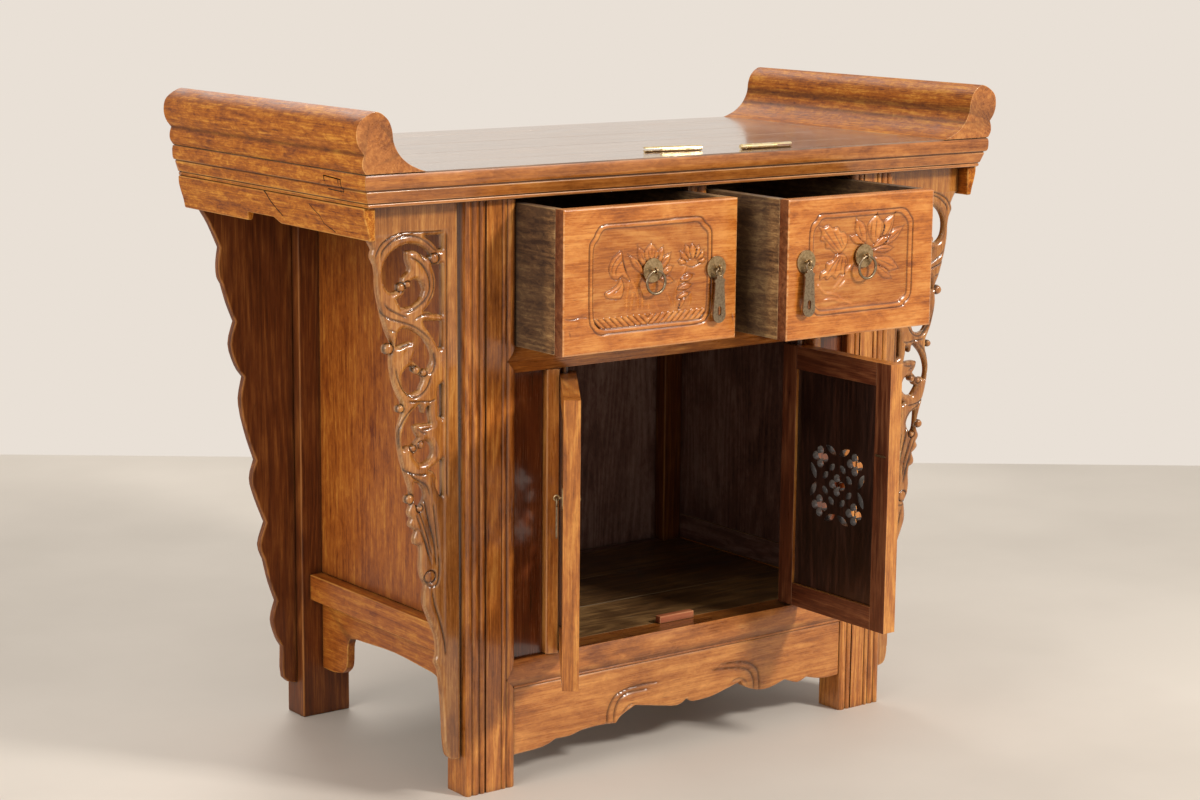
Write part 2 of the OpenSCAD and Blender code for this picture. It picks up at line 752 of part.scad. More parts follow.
// Carved and pierced board between the leg, the top and the cleat. Beside the leg only a tongue at
// its back meets the leg, so that an open joint shows in front, wider at the top.
module spandrel(side) {
    joint_top = 7;
    joint_foot = 2;
    joint_d = spandrel_t * 0.4;
    to_side(side)
        translate([leg_out, 0, 0])
            difference() {
                union() {
                    run_y(spandrel_in, spandrel_y)
                        polygon(board_outline(SPANDREL_EDGE, 50));
                    for (b = SPANDREL_BERRIES)
                        run_y(spandrel_in, spandrel_y)
                            translate(on_spandrel([[b[0], b[1]]])[0])
                                circle(b[2] * spandrel_w / drawn_w, $fn = 24);
                }
                run_y(spandrel_in - 1, spandrel_y + 1)
                    for (hole = SPANDREL_HOLES)
                        polygon(edge([for (run = hole) on_spandrel(run)], 2));
                run_y(spandrel_in - 1, spandrel_in + joint_d)
                    polygon([[-1, 0], [joint_foot, 0], [joint_top, leg_h + 1], [-1, leg_h + 1]]);
            }
}

// Plain shaped board behind the spandrel, beside the rear leg
module rear_wing(side) {
    to_side(side)
        translate([leg_out, 0, 0])
            run_y(wing_y, wing_y + wing_t)
                polygon(board_outline(WING_EDGE, 46));
}

// Block on the sill that the closed doors meet
module stop_block() {
    x = door_mid + 9;
    y = door_in + door_t + 7;
    stop_l = 58;
    stop_h = 10;
    box([x - stop_l / 2, y, sill_z], [x + stop_l / 2, y + stop_h, sill_z + stop_h]);
}

// Split-tailed lock pin lying along +X with its head at the origin
module lock_pin() {
    fork_l = pin_l * 0.3;
    rotate([0, 90, 0])
        cylinder(r = pin_r, h = pin_l - fork_l);
    rotate([0, 90, 0])
        translate([0, 0, -2])
            cylinder(r = pin_r * 0.8, h = 3);
    for (up = [-1, 1])
        translate([pin_l - fork_l - 1, 0, 0])
            intersection() {
                rotate([0, 90, 0])
                    cylinder(r = pin_r, h = fork_l + 1);
                translate([0, -pin_r, up > 0 ? pin_r * 0.35 : -pin_r])
                    cube([fork_l + 1, pin_r * 2, pin_r * 0.65]);
            }
}

// Lays a pin on the table with its head at a place, turned by an angle
module on_table(at, turn) {
    translate([at.x, at.y, table_z + pin_r])
        rotate(turn)
            children();
}

// Eye with its plate and split shank, pivot at the origin and the wood ahead at +y
module eye_plate(grip) {
    rotate([0, 90, 0])
        rotate_extrude()
            translate([eye_r, 0])
                circle(wire_r, $fn = 24);
    translate([0, eye_out - plate_t, 0])
        rotate([-90, 0, 0])
            cylinder(d = plate_d, h = plate_t);
    translate([0, eye_r, 0])
        rotate([-90, 0, 0])
            cylinder(r = shank_r, h = eye_out - eye_r + grip + tail_t);
    translate([-tail_l, eye_out + grip, -shank_r * 0.8])
        cube([tail_l * 2, tail_t, shank_r * 1.6]);
}

// Bore that the eye's shank passes through
module shank_bore(grip) {
    translate([0, eye_out - 1, 0])
        rotate([-90, 0, 0])
            cylinder(r = shank_r + peg_gap, h = grip + 2);
}

// Drop ring hanging from its pivot at the origin
module drop_ring() {
    translate([0, 0, -ring_r])
        rotate([90, 0, 0])
            rotate_extrude($fn = 64)
                translate([ring_r, 0])
                    circle(wire_r, $fn = 24);
}

// Small loop at the head of a hasp or a pull
module head_loop() {
    translate([0, 0, -loop_r])
        rotate([90, 0, 0])
            rotate_extrude()
                translate([loop_r, 0])
                    circle(wire_r, $fn = 24);
}

// Hanging plate: shoulders under the loop, a widening body and a round end
module hanging_plate(l, w) {
    head_loop();
    neck = loop_r * 2;
    run_y(-hasp_t / 2, hasp_t / 2) {
        polygon([[-w * 0.4, -neck], [w * 0.4, -neck], [w / 2, w / 2 - l], [-w / 2, w / 2 - l]]);
        translate([0, w / 2 - l])
            circle(w / 2);
    }
}

// Hasp with the slot that a staple passes
module hasp() {
    slot_z = -hasp_l * 0.78;
    difference() {
        hanging_plate(hasp_l, hasp_w);
        run_y(-hasp_t, hasp_t)
            for (dz = [-3, 3])
                translate([0, slot_z + dz])
                    circle(3);
        box([-3, -hasp_t, slot_z - 3], [3, hasp_t, slot_z + 3]);
    }
}

// Pivot of an eye at the given shares of a drawer front's width and height
function eye_at(x0, x1, across, up) = [x0 + (x1 - x0) * across, drawer_in - eye_out, drawer_z + drawer_h * up];

left_ring_at = eye_at(left_drawer_x0, left_drawer_x1, 0.502, 0.54);
left_hasp_at = eye_at(left_drawer_x0, left_drawer_x1, 0.875, 0.515);
right_ring_at = eye_at(right_drawer_x0, right_drawer_x1, 0.515, 0.56);
right_hasp_at = eye_at(right_drawer_x0, right_drawer_x1, 0.12, 0.555);

// Front board of a drawer, bored for the two shanks
module drawer_front(x0, x1, eyes) {
    difference() {
        box([x0, drawer_in, drawer_z], [x1, drawer_in + front_t, drawer_top]);
        for (at = eyes)
            translate(at)
                shank_bore(front_t);
    }
}

// Two sides and the back of a drawer
module drawer_walls(x0, x1) {
    y0 = drawer_in + front_t;
    y1 = drawer_in + drawer_l;
    for (x = [x0, x1 - wall_t])
        box([x, y0, drawer_z], [x + wall_t, y1, drawer_top]);
    box([x0 + wall_t + joint_gap, y1 - wall_t, drawer_z], [x1 - wall_t - joint_gap, y1, drawer_top]);
}

module drawer_bottom(x0, x1) {
    z = drawer_z + floor_up;
    box([x0 + wall_t, drawer_in + front_t, z], [x1 - wall_t, drawer_in + drawer_l - wall_t, z + bottom_t]);
}

// Pulls a drawer's piece out by its distance
module pulled(out) {
    translate([0, -out, 0])
        children();
}

// Turns a door's piece from its own axes to its open place. Its own axes run along the closed door
// from the hinge edge, inwards from the outer face, and up.
module hung(side) {
    open = side == LEFT ? left_door_open : right_door_open;
    translate([door_mid + side * pivot_x, pivot_y, 0])
        rotate([0, 0, side * open])
            mirror([side == RIGHT ? 1 : 0, 0, 0])
                translate([-pivot_edge, -pivot_face, 0])
                    children();
}

// Stile of a door at the hinge edge, rounded outside and pegged above and below
module hinge_stile() {
    round_r = 4;
    translate([0, 0, door_z])
        linear_extrude(door_h)
            union() {
                translate([round_r, 0])
                    square([door_stile_w - round_r, door_t]);
                translate([0, round_r])
                    square([round_r + hair, door_t - round_r]);
                translate([round_r, round_r])
                    circle(round_r);
            }
    translate([pivot_edge, pivot_face, door_z - door_under - peg_deep + 1])
        cylinder(r = peg_r, h = door_under + peg_deep);
    translate([pivot_edge, pivot_face, door_z + door_h - 1])
        cylinder(r = peg_r, h = door_over + peg_deep);
}

module door_frame() {
    hinge_stile();
    difference() {
        box([door_w - door_stile_w, 0, door_z], [door_w, door_t, door_z + door_h]);
        translate([pull_u, -eye_out, pull_z])
            shank_bore(door_t);
    }
    for (z = [door_z, door_z + door_h - door_rail_h])
        box([door_stile_w + joint_gap, 0, z], [door_w - door_stile_w - joint_gap, door_t, z + door_rail_h]);
}

// Four round petals round a middle, as a flat shape
module quatrefoil() {
    petal_r = medallion_r * 0.107;
    petal_at = medallion_r * 0.155;
    circle(petal_at * 0.6);
    for (a = [0 : 90 : 270])
        rotate(a)
            translate([petal_at, 0])
                circle(petal_r);
}

// Pointed lens as a flat shape
module lens(l, w) {
    r = (l * l / 4 + w * w / 4) / w;
    intersection() {
        translate([0, r - w / 2])
            circle(r);
        translate([0, w / 2 - r])
            circle(r);
    }
}

// Piercing of a medallion: five quatrefoils, a pair of slits across each diagonal and a pair of
// leaves at each side
module piercing() {
    foil_at = medallion_r * 0.58;
    slit_l = medallion_r * 0.24;
    leaf_l = medallion_r * 0.41;
    quatrefoil();
    for (i = [0 : 3])
        rotate(i * 90) {
            translate([foil_at, foil_at])
                quatrefoil();
            for (s = [-1, 1]) {
                rotate(45)
                    translate([medallion_r * 0.41, s * slit_l * 0.64])
                        rotate(90)
                            lens(slit_l, medallion_r * 0.15);
                translate([s * leaf_l * 0.53, medallion_r * 0.8])
                    rotate(s * 27)
                        lens(leaf_l, medallion_r * 0.155);
            }
        }
}

module door_panel() {
    difference() {
        box([door_stile_w, panel_set, door_z + door_rail_h],
            [door_w - door_stile_w, panel_set + door_panel_t, door_z + door_h - door_rail_h]);
        translate([medallion_u, 0, medallion_z])
            run_y(0, door_t)
                piercing();
    }
}

module left_front_leg() placed() color("sienna") front_leg(LEFT);
module right_front_leg() placed() color("sienna") front_leg(RIGHT);
module left_rear_leg() placed() color("sienna") rear_leg(LEFT);
module right_rear_leg() placed() color("sienna") rear_leg(RIGHT);
module top_front_rail() placed() color("chocolate") top_front_piece();
module top_back_rail() placed() color("chocolate") top_back_piece();
module top_left_end() placed() color("peru") top_end(LEFT);
module top_right_end() placed() color("peru") top_end(RIGHT);
module top_boards() placed() color("tan") boards();
module top_battens() placed() color("saddlebrown") battens();
module left_flange() placed() color("peru") flange(LEFT);
module right_flange() placed() color("peru") flange(RIGHT);
module left_cleat() placed() color("peru") cleat(LEFT);
module right_cleat() placed() color("peru") cleat(RIGHT);
module drawer_rail() placed() color("chocolate") front_drawer_rail();
module bottom_rail() placed() color("chocolate") front_bottom_rail();
module front_apron() placed() color("sienna") apron();
module drawer_post() placed() color("chocolate") post();
module left_fixed_panel() placed() color("sienna") fixed_panel(LEFT);
module right_fixed_panel() placed() color("sienna") fixed_panel(RIGHT);
module left_inner_stile() placed() color("chocolate") inner_stile(LEFT);
module right_inner_stile() placed() color("chocolate") inner_stile(RIGHT);
module left_side_panel() placed() color("goldenrod") side_panel(LEFT);
module right_side_panel() placed() color("goldenrod") side_panel(RIGHT);
module left_side_rails() placed() color("sienna") side_rails(LEFT);
module right_side_rails() placed() color("sienna") side_rails(RIGHT);
module left_side_apron() placed() color("peru") side_apron(LEFT);
module right_side_apron() placed() color("peru") side_apron(RIGHT);
module back_boards() placed() color("saddlebrown") back_panel();
module back_rails() placed() color("saddlebrown") rear_rails();
module bottom_boards() placed() color("saddlebrown") floor_boards();
module drawer_runners() placed() color("saddlebrown") runners();
module left_spandrel() placed() color("darkgoldenrod") spandrel(LEFT);
module right_spandrel() placed() color("darkgoldenrod") spandrel(RIGHT);
module left_rear_wing() placed() color("sienna") rear_wing(LEFT);
module right_rear_wing() placed() color("sienna") rear_wing(RIGHT);
module door_stop() placed() color("brown") stop_block();
module left_lock_pin() placed() color("gold") on_table(LEFT_PIN_AT, left_pin_turn) lock_pin();
module right_lock_pin() placed() color("gold") on_table(RIGHT_PIN_AT, right_pin_turn) lock_pin();

module left_drawer_front() {
    placed() color("chocolate") pulled(left_drawer_out)
        drawer_front(left_drawer_x0, left_drawer_x1, [left_ring_at, left_hasp_at]);
}

module left_drawer_walls() {
    placed() color("rosybrown") pulled(left_drawer_out)
        drawer_walls(left_drawer_x0, left_drawer_x1);
}

module left_drawer_bottom() {
    placed() color("rosybrown") pulled(left_drawer_out)
        drawer_bottom(left_drawer_x0, left_drawer_x1);
}

module left_drawer_plates() {
    placed() color("dimgray") pulled(left_drawer_out)
        for (at = [left_ring_at, left_hasp_at])
            translate(at)
                eye_plate(front_t);
}

module left_drawer_ring() placed() color("gray") pulled(left_drawer_out) translate(left_ring_at) drop_ring();
module left_drawer_hasp() placed() color("gray") pulled(left_drawer_out) translate(left_hasp_at) hasp();

module right_drawer_front() {
    placed() color("chocolate") pulled(right_drawer_out)
        drawer_front(right_drawer_x0, right_drawer_x1, [right_ring_at, right_hasp_at]);
}

module right_drawer_walls() {
    placed() color("rosybrown") pulled(right_drawer_out)
        drawer_walls(right_drawer_x0, right_drawer_x1);
}

module right_drawer_bottom() {
    placed() color("rosybrown") pulled(right_drawer_out)
        drawer_bottom(right_drawer_x0, right_drawer_x1);
}

module right_drawer_plates() {
    placed() color("dimgray") pulled(right_drawer_out)
        for (at = [right_ring_at, right_hasp_at])
            translate(at)
                eye_plate(front_t);
}

module right_drawer_ring() placed() color("gray") pulled(right_drawer_out) translate(right_ring_at) drop_ring();
module right_drawer_hasp() placed() color("gray") pulled(right_drawer_out) translate(right_hasp_at) hasp();

module left_door_frame() placed() color("chocolate") hung(LEFT) door_frame();
module left_door_panel() placed() color("sienna") hung(LEFT) door_panel();
module left_pull_plate() placed() color("dimgray") hung(LEFT) translate([pull_u, -eye_out, pull_z]) eye_plate(door_t);
module left_pull() placed() color("gray") hung(LEFT) translate([pull_u, -eye_out, pull_z]) hanging_plate(pull_l, pull_w);
module right_door_frame() placed() color("chocolate") hung(RIGHT) door_frame();
module right_door_panel() placed() color("sienna") hung(RIGHT) door_panel();
module right_pull_plate() placed() color("dimgray") hung(RIGHT) translate([pull_u, -eye_out, pull_z]) eye_plate(door_t);
module right_pull() placed() color("gray") hung(RIGHT) translate([pull_u, -eye_out, pull_z]) hanging_plate(pull_l, pull_w);

left_front_leg();
right_front_leg();
left_rear_leg();
right_rear_leg();
top_front_rail();
top_back_rail();
top_left_end();
top_right_end();
top_boards();
top_battens();
left_flange();
right_flange();
left_cleat();
right_cleat();
drawer_rail();
bottom_rail();
front_apron();
drawer_post();
left_fixed_panel();
right_fixed_panel();
left_inner_stile();
right_inner_stile();
left_side_panel();
right_side_panel();
left_side_rails();
right_side_rails();
left_side_apron();
right_side_apron();
back_boards();
back_rails();
bottom_boards();
drawer_runners();
left_spandrel();
right_spandrel();
left_rear_wing();
right_rear_wing();
door_stop();
left_lock_pin();
right_lock_pin();
left_drawer_front();
left_drawer_walls();
left_drawer_bottom();
left_drawer_plates();
left_drawer_ring();
left_drawer_hasp();
right_drawer_front();
right_drawer_walls();
right_drawer_bottom();
right_drawer_plates();
right_drawer_ring();
right_drawer_hasp();
left_door_frame();
left_door_panel();
left_pull_plate();
left_pull();
right_door_frame();
right_door_panel();
right_pull_plate();
right_pull();
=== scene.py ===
# %% [markdown]
# An altar cabinet in oiled elm: everted flanges at the ends of the top, carved and pierced
# spandrels beside reeded legs, two carved drawers over a cupboard with pivoted doors. The packed
# model gives every piece its place; this file adds worn edges, carving and finishes, with painted
# highlights on edges and painted shade in corners and grooves.

# %% Load the imported model
import json
import math
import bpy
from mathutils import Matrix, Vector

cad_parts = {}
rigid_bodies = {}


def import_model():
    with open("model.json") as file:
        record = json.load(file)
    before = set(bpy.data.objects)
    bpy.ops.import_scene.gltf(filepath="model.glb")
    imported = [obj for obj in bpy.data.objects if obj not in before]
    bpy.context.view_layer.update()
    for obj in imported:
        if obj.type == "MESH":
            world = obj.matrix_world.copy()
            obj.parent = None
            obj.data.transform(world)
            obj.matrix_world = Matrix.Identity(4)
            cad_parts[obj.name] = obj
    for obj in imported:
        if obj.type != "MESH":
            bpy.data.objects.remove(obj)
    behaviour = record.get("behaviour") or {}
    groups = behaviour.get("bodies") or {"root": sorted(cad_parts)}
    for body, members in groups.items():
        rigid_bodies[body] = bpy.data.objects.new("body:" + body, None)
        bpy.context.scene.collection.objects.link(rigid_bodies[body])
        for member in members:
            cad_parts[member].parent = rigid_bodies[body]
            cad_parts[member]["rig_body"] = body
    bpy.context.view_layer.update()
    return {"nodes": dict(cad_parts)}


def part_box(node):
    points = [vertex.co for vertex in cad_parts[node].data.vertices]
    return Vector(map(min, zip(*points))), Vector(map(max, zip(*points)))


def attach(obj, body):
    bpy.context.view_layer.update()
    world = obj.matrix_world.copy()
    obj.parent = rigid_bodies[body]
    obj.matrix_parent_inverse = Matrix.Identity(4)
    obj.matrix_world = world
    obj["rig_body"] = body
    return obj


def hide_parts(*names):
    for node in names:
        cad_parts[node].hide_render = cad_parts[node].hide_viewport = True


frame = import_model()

import zlib

import bmesh
import bpy
import numpy as np
from mathutils import Matrix, Vector
from mathutils.bvhtree import BVHTree

# %% [markdown]
# Sizes are in millimetres, as a joiner would measure them: across from the middle of the cabinet,
# back from the faces of the front legs, and up from the floor.

# %% Places in millimetres
MM = 0.001
LEGS_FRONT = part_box("left_front_leg")[0].y
NODES = frame["nodes"]
# Vertices closer than this are one
WELD = 0.01 * MM


def place(x, y, z):
    """A place on the cabinet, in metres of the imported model."""
    return Vector((x * MM, LEGS_FRONT + y * MM, z * MM))


def body_of(node):
    """The body that a CAD node moves with."""
    return NODES[node]["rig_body"]


def new_object(name, data):
    """An object of the given data, put into the scene."""
    thing = bpy.data.objects.new(name, data)
    bpy.context.scene.collection.objects.link(thing)
    return thing


print("front of the legs at y", round(LEGS_FRONT, 4))

# %% [markdown]
# The camera stands to the left of the cabinet at chest height, far away, with a long lens. Its
# place and turn were fitted to the cabinet's own right angles.

# %% Camera
YAW, PITCH, ROLL = math.radians(36.892), math.radians(10.642), math.radians(0.533)
STAND, LENS_MM, SENSOR_MM = (-2.0848, -2.71827, 1.0958), 77.31, 36

camera_data = bpy.data.cameras.new("camera")
camera_data.lens = LENS_MM
camera_data.sensor_width = SENSOR_MM
camera = new_object("camera", camera_data)
axes = Matrix.Translation(STAND)
for angle, axis in ((-YAW, "Z"), (math.pi / 2 - PITCH, "X"), (ROLL, "Z")):
    axes @= Matrix.Rotation(angle, 4, axis)
camera.matrix_world = axes
bpy.context.scene.camera = camera
bpy.context.scene.view_settings.view_transform = "Standard"
print("camera at", tuple(round(c, 3) for c in camera.location))

# %% [markdown]
# Materials are built from a few nodes each. One function adds a node with its settings and links,
# and one turns hex colours into linear light.


# %% Node and colour helpers
def linear(hex_colour):
    """An sRGB hex colour as linear red, green, blue and alpha."""
    shares = [int(hex_colour[i:i + 2], 16) / 255 for i in (1, 3, 5)]
    bright = [c / 12.92 if c <= 0.04045 else ((c + 0.055) / 1.055) ** 2.4 for c in shares]
    return (*bright, 1.0)


def add(tree, kind, inputs=None, **settings):
    """Adds a node. Each input is a value, or the output socket to link to it."""
    node = tree.nodes.new("ShaderNode" + kind)
    for name, value in settings.items():
        setattr(node, name, value)
    for name, value in (inputs or {}).items():
        socket = node.inputs[name]
        if isinstance(value, bpy.types.NodeSocket):
            tree.links.new(value, socket)
        else:
            socket.default_value = value
    return node


def ramp(tree, share, stops):
    """A colour ramp over a share, with stops of position and hex colour."""
    node = add(tree, "ValToRGB", {"Fac": share})
    elements = node.color_ramp.elements
    while len(elements) < len(stops):
        elements.new(0.5)
    for element, (position, colour) in zip(elements, stops):
        element.position = position
        element.color = linear(colour)
    return node.outputs["Color"]


def patches(tree, size_mm, detail, rough=0.5, warp=0.0, spot=None):
    """A share that changes in soft patches of the given size."""
    if spot is None:
        spot = add(tree, "TexCoord").outputs["Object"]
    return add(tree, "TexNoise", {"Vector": spot, "Scale": 1 / (size_mm * MM), "Detail": detail,
                                  "Roughness": rough, "Distortion": warp}).outputs["Fac"]


def span(tree, value, low, high, first=0.0, last=1.0):
    """Turns low to high into first to last."""
    return add(tree, "MapRange", {"Value": value, "From Min": low, "From Max": high,
                                  "To Min": first, "To Max": last}).outputs["Result"]


def new_material(name):
    """An empty node material and its tree."""
    material = bpy.data.materials.new(name)
    material.use_nodes = True
    material.node_tree.nodes.clear()
    return material, material.node_tree


def finished(material, inputs):
    """Gives a material its shader, whose inputs are values or sockets."""
    shader = add(material.node_tree, "BsdfPrincipled", inputs)
    add(material.node_tree, "OutputMaterial", {"Surface": shader.outputs["BSDF"]})
    return material


print("linear middle grey:", round(linear("#808080")[0], 3))

# %% [markdown]
# Old wood is never one colour. It has growth rings, fine fibres, short dark pores, a slow change of
# tone in the finish, dirt in the corners and paler, rubbed edges; here the corners also get painted
# shade and the rubbed edges a painted highlight. Each board carries its own grain coordinates, so
# that rings and fibres follow it and no two boards match.


# %% A grained wood
def wood(name, dark, middle, light, figure=0.18, fibres=0.46, mottle=0.5, mottle_mm=55, stain=0.15,
         specks=0.0, scuffs=0.0, rub_and_highlight="#E8B078", rub_and_highlight_share=0.55, grime_and_shade="#1A0B04", grime_and_shade_share=0.7,
         rough=(0.2, 0.42), bump=0.3, coat=0.3, shine=0.5):
    """A wood of three tones, built up in layers whose numbers are their shares.

    Figure, fibres, mottle and specks move the tone; stain, scuffs, rubbed edges with a painted
    highlight, and grime with painted shade lie over it. Mottled patches have the size mottle_mm;
    rough is the smooth and the dull end.
    """
    material, tree = new_material(name)
    grain = add(tree, "Attribute", attribute_name="grain").outputs["Vector"]
    # The wear layer marks worn edges that also get a painted highlight; the dirt layer marks dirt
    # and painted shade
    tone, paler, dirt = (add(tree, "Attribute", attribute_name=layer).outputs["Fac"]
                        for layer in ("tone", "wear", "dirt"))

    def noise(stretch, *settings):
        along = add(tree, "Mapping", {"Vector": grain, "Scale": (stretch, 1.0, 1.0)})
        return patches(tree, *settings, spot=along.outputs["Vector"])

    def calc(operation, a, b, clamp=False):
        return add(tree, "Math", {0: a, 1: b}, operation=operation, use_clamp=clamp).outputs[0]

    def times(a, b):
        return calc("MULTIPLY", a, b)

    def blend(share, below, colour):
        return add(tree, "MixRGB", {"Fac": share, "Color1": below,
                                    "Color2": linear(colour)}).outputs["Color"]

    # Growth rings are the contour lines of a slow swell, blurred by the fibres that cross them
    swell = noise(0.09, 60, 1.0, 0.4)
    fibre = noise(0.04, 1.8, 3.0, 0.65)
    streak = noise(0.04, 7, 3.0, 0.55)
    patch = noise(0.5, mottle_mm, 5.0, 0.6, 0.6)
    turn = calc("ADD", times(swell, 95.0), times(streak, 5.0))
    ring = span(tree, add(tree, "Math", {0: turn}, operation="SINE").outputs[0], -1, 1)
    layers = [(calc("POWER", ring, 1.6), figure, 0.42), (fibre, 2.1 * fibres, 0.5),
              (streak, 1.2 * fibres, 0.5), (patch, 1.3 * mottle, 0.5), (tone, 0.16, 0.5)]
    # Old varnish wears in small specks and crumbs
    if specks:
        layers.append((noise(0.42, 6, 6.0, 0.72, 0.8), specks, 0.5))
    # Each layer moves the tone to both sides of its own mean
    share = 0.5
    for layer, amount, mean in layers:
        share = calc("ADD", times(calc("SUBTRACT", layer, mean), amount), share, True)
    colour = ramp(tree, share, [(0.08, dark), (0.5, middle), (0.9, light)])

    # Old spills and smoke leave dark clouds, pores short dark dashes along the grain
    cloud = span(tree, noise(0.6, 130, 5.0, 0.65, 1.0), 0.52, 0.72)
    pore = span(tree, noise(0.07, 1.3, 2.0, 0.5), 0.64, 0.74)
    colour = blend(times(cloud, stain), colour, dark)
    colour = blend(times(pore, 0.55), colour, dark)
    # Scuffs are thin pale flecks where the finish has gone
    if scuffs:
        fleck = span(tree, noise(0.22, 7, 6.0, 0.75, 1.5), 0.66, 0.72)
        colour = blend(times(fleck, scuffs), colour, rub_and_highlight)
    # Rubbed edges are paler, from worn finish and a painted highlight; dirt, old wax and painted
    # shade darken corners and carved grooves
    rubbed_and_highlit = times(span(tree, streak, 0.35, 0.6), rub_and_highlight_share)
    colour = blend(times(paler, rubbed_and_highlit), colour, rub_and_highlight)
    # Painted shade: spots closed in by nearby surfaces take on the grime colour
    shade_occlusion = add(tree, "AmbientOcclusion", {"Distance": 12 * MM}, samples=4).outputs["AO"]
    colour = blend(span(tree, shade_occlusion, 0.25, 0.85, grime_and_shade_share, 0.0), colour, grime_and_shade)
    colour = blend(times(dirt, grime_and_shade_share), colour, grime_and_shade)

    gloss = calc("ADD", times(patch, 0.6), times(fibre, 0.4))
    # Planed faces are never quite flat, and the fibres stand up a little
    relief = calc("ADD", times(fibre, 0.16), times(noise(0.35, 24, 2.0, 0.5), 0.9))
    relief = calc("SUBTRACT", relief, times(pore, 0.05))
    height = add(tree, "Bump", {"Height": relief, "Strength": bump, "Distance": 2.4 * MM})
    return finished(material, {
        "Base Color": colour, "Roughness": span(tree, gloss, 0.3, 0.7, *rough),
        "Normal": height.outputs["Normal"], "Specular IOR Level": shine, "Coat Weight": coat,
        "Coat Roughness": 0.13})


# %% The woods of the cabinet
def oiled_elm():
    """Elm, oiled and lacquered orange-brown, its grain standing out: legs, stiles and doors."""
    return wood("oiled_elm", "#5E2C0E", "#B26A29", "#E6A24F", fibres=0.43, specks=0.5,
                grime_and_shade_share=0.66)


def polished_elm():
    """Elm from plain-sawn boards, rubbed smooth: the rails and the apron."""
    return wood("polished_elm", "#6E3612", "#B06A2C", "#D8944C", figure=0.14, fibres=0.3,
                mottle=0.7, mottle_mm=40, specks=0.7, grime_and_shade_share=0.66)


def amber_elm():
    """Elm under a worn amber varnish, mottled: the ends of the top, the flanges and the cleats."""
    return wood("amber_elm", "#5E2606", "#AE6218", "#DE9A3C", figure=0.1, mottle=0.6,
                mottle_mm=24, specks=1.3, rub_and_highlight="#E0A858", rough=(0.36, 0.56), coat=0.0, shine=0.2)


def side_elm():
    """Elm under amber varnish that has gone deep red where it is thick; its dark red also paints
    the
    shade under the top: the sides.
    """
    return wood("side_elm", "#682B0B", "#A65C1E", "#CE8A36", figure=0.1, mottle=0.7, mottle_mm=32,
                specks=0.9, rub_and_highlight="#D8A050", grime_and_shade="#3A1206", grime_and_shade_share=0.8, rough=(0.3, 0.5),
                coat=0.12, shine=0.35)


def red_elm():
    """Elm in deep red-brown, partly its old varnish and partly the painted shadow of the open
    doors:
    the sunk panels beside the doors.
    """
    return wood("red_elm", "#30130A", "#632E14", "#94562A", rough=(0.18, 0.34), coat=0.5)


def carved_elm():
    """Elm stained golden brown, carved and waxed: the spandrels."""
    return wood("carved_elm", "#5A2C0E", "#A4652A", "#D0944C", figure=0.08, specks=0.5,
                rub_and_highlight="#E8BC84", rub_and_highlight_share=0.6, grime_and_shade_share=0.9, rough=(0.13, 0.28), coat=0.55)


def shaded_elm():
    """Elm with little varnish left, in darker tones that paint the shade at the back: rear wings
    and rear legs.
    """
    return wood("shaded_elm", "#3A1807", "#6A3511", "#9A5E28", rub_and_highlight="#B87A38", rough=(0.4, 0.6),
                coat=0.08, shine=0.35)


def table_elm():
    """Elm rubbed grey by use and waxed: the table surface."""
    return wood("table_elm", "#5A3E2C", "#8E6C52", "#B08E70", figure=0.2, fibres=0.55,
                mottle=0.35, stain=0.2, rub_and_highlight="#C8AE98", grime_and_shade_share=0.5, rough=(0.13, 0.3),
                bump=0.1, coat=0.8)


def smoked_elm():
    """Elm blackened by lamp smoke and handling: the inner faces of the door panels."""
    return wood("smoked_elm", "#110705", "#24110A", "#4A2A1E", mottle=0.6, mottle_mm=80, stain=0.5,
                rub_and_highlight="#7A5A40", rub_and_highlight_share=0.5, rough=(0.26, 0.5))


def handled_elm():
    """Elm darkened to a red-brown by hands: the inner faces of the door frames."""
    return wood("handled_elm", "#2E130B", "#60301B", "#8E5836", mottle=0.6, stain=0.3,
                rub_and_highlight="#B08058", rough=(0.24, 0.45))


def dusty_elm():
    """Elm left bare inside, browned and dusty: the back, the inner sides and the battens."""
    return wood("dusty_elm", "#40261E", "#7A5446", "#A48274", fibres=0.3, mottle=1.0,
                mottle_mm=90, stain=0.5, specks=0.9, scuffs=0.15, rub_and_highlight="#A89478", rough=(0.5, 0.8),
                coat=0.0)


def worn_pine():
    """Softwood blackened by age, its dull finish worn off in flecks: the cupboard's floor."""
    return wood("worn_pine", "#281A0E", "#664828", "#A07A4A", mottle=0.9, scuffs=0.9,
                rub_and_highlight="#DCC8A0", rub_and_highlight_share=0.4, rough=(0.32, 0.6), coat=0.15)


def raw_pine():
    """Softwood left raw, stained dark by handling: sides and backs of the drawers."""
    return wood("raw_pine", "#3A2414", "#7E5C38", "#B4915E", fibres=0.36, mottle=0.9,
                mottle_mm=40, stain=0.4, specks=1.6, scuffs=0.4, rub_and_highlight="#C8A878", grime_and_shade="#2A1A12",
                rough=(0.55, 0.8), bump=0.4, coat=0.0)


def red_block():
    """Reddish softwood, cut lately and left raw: the stop on the sill."""
    return wood("red_block", "#7A3A22", "#B0603C", "#D08A5C", stain=0.1, rough=(0.5, 0.75),
                coat=0.0)


def lacquered_elm():
    """Elm under a clear orange lacquer: the drawer fronts."""
    return wood("lacquered_elm", "#82400F", "#BE6E26", "#DC9448", figure=0.12, mottle=0.95,
                mottle_mm=30, stain=0.2, specks=0.8, rub_and_highlight="#F0C08A", grime_and_shade="#421E08",
                grime_and_shade_share=0.85, rough=(0.2, 0.38))


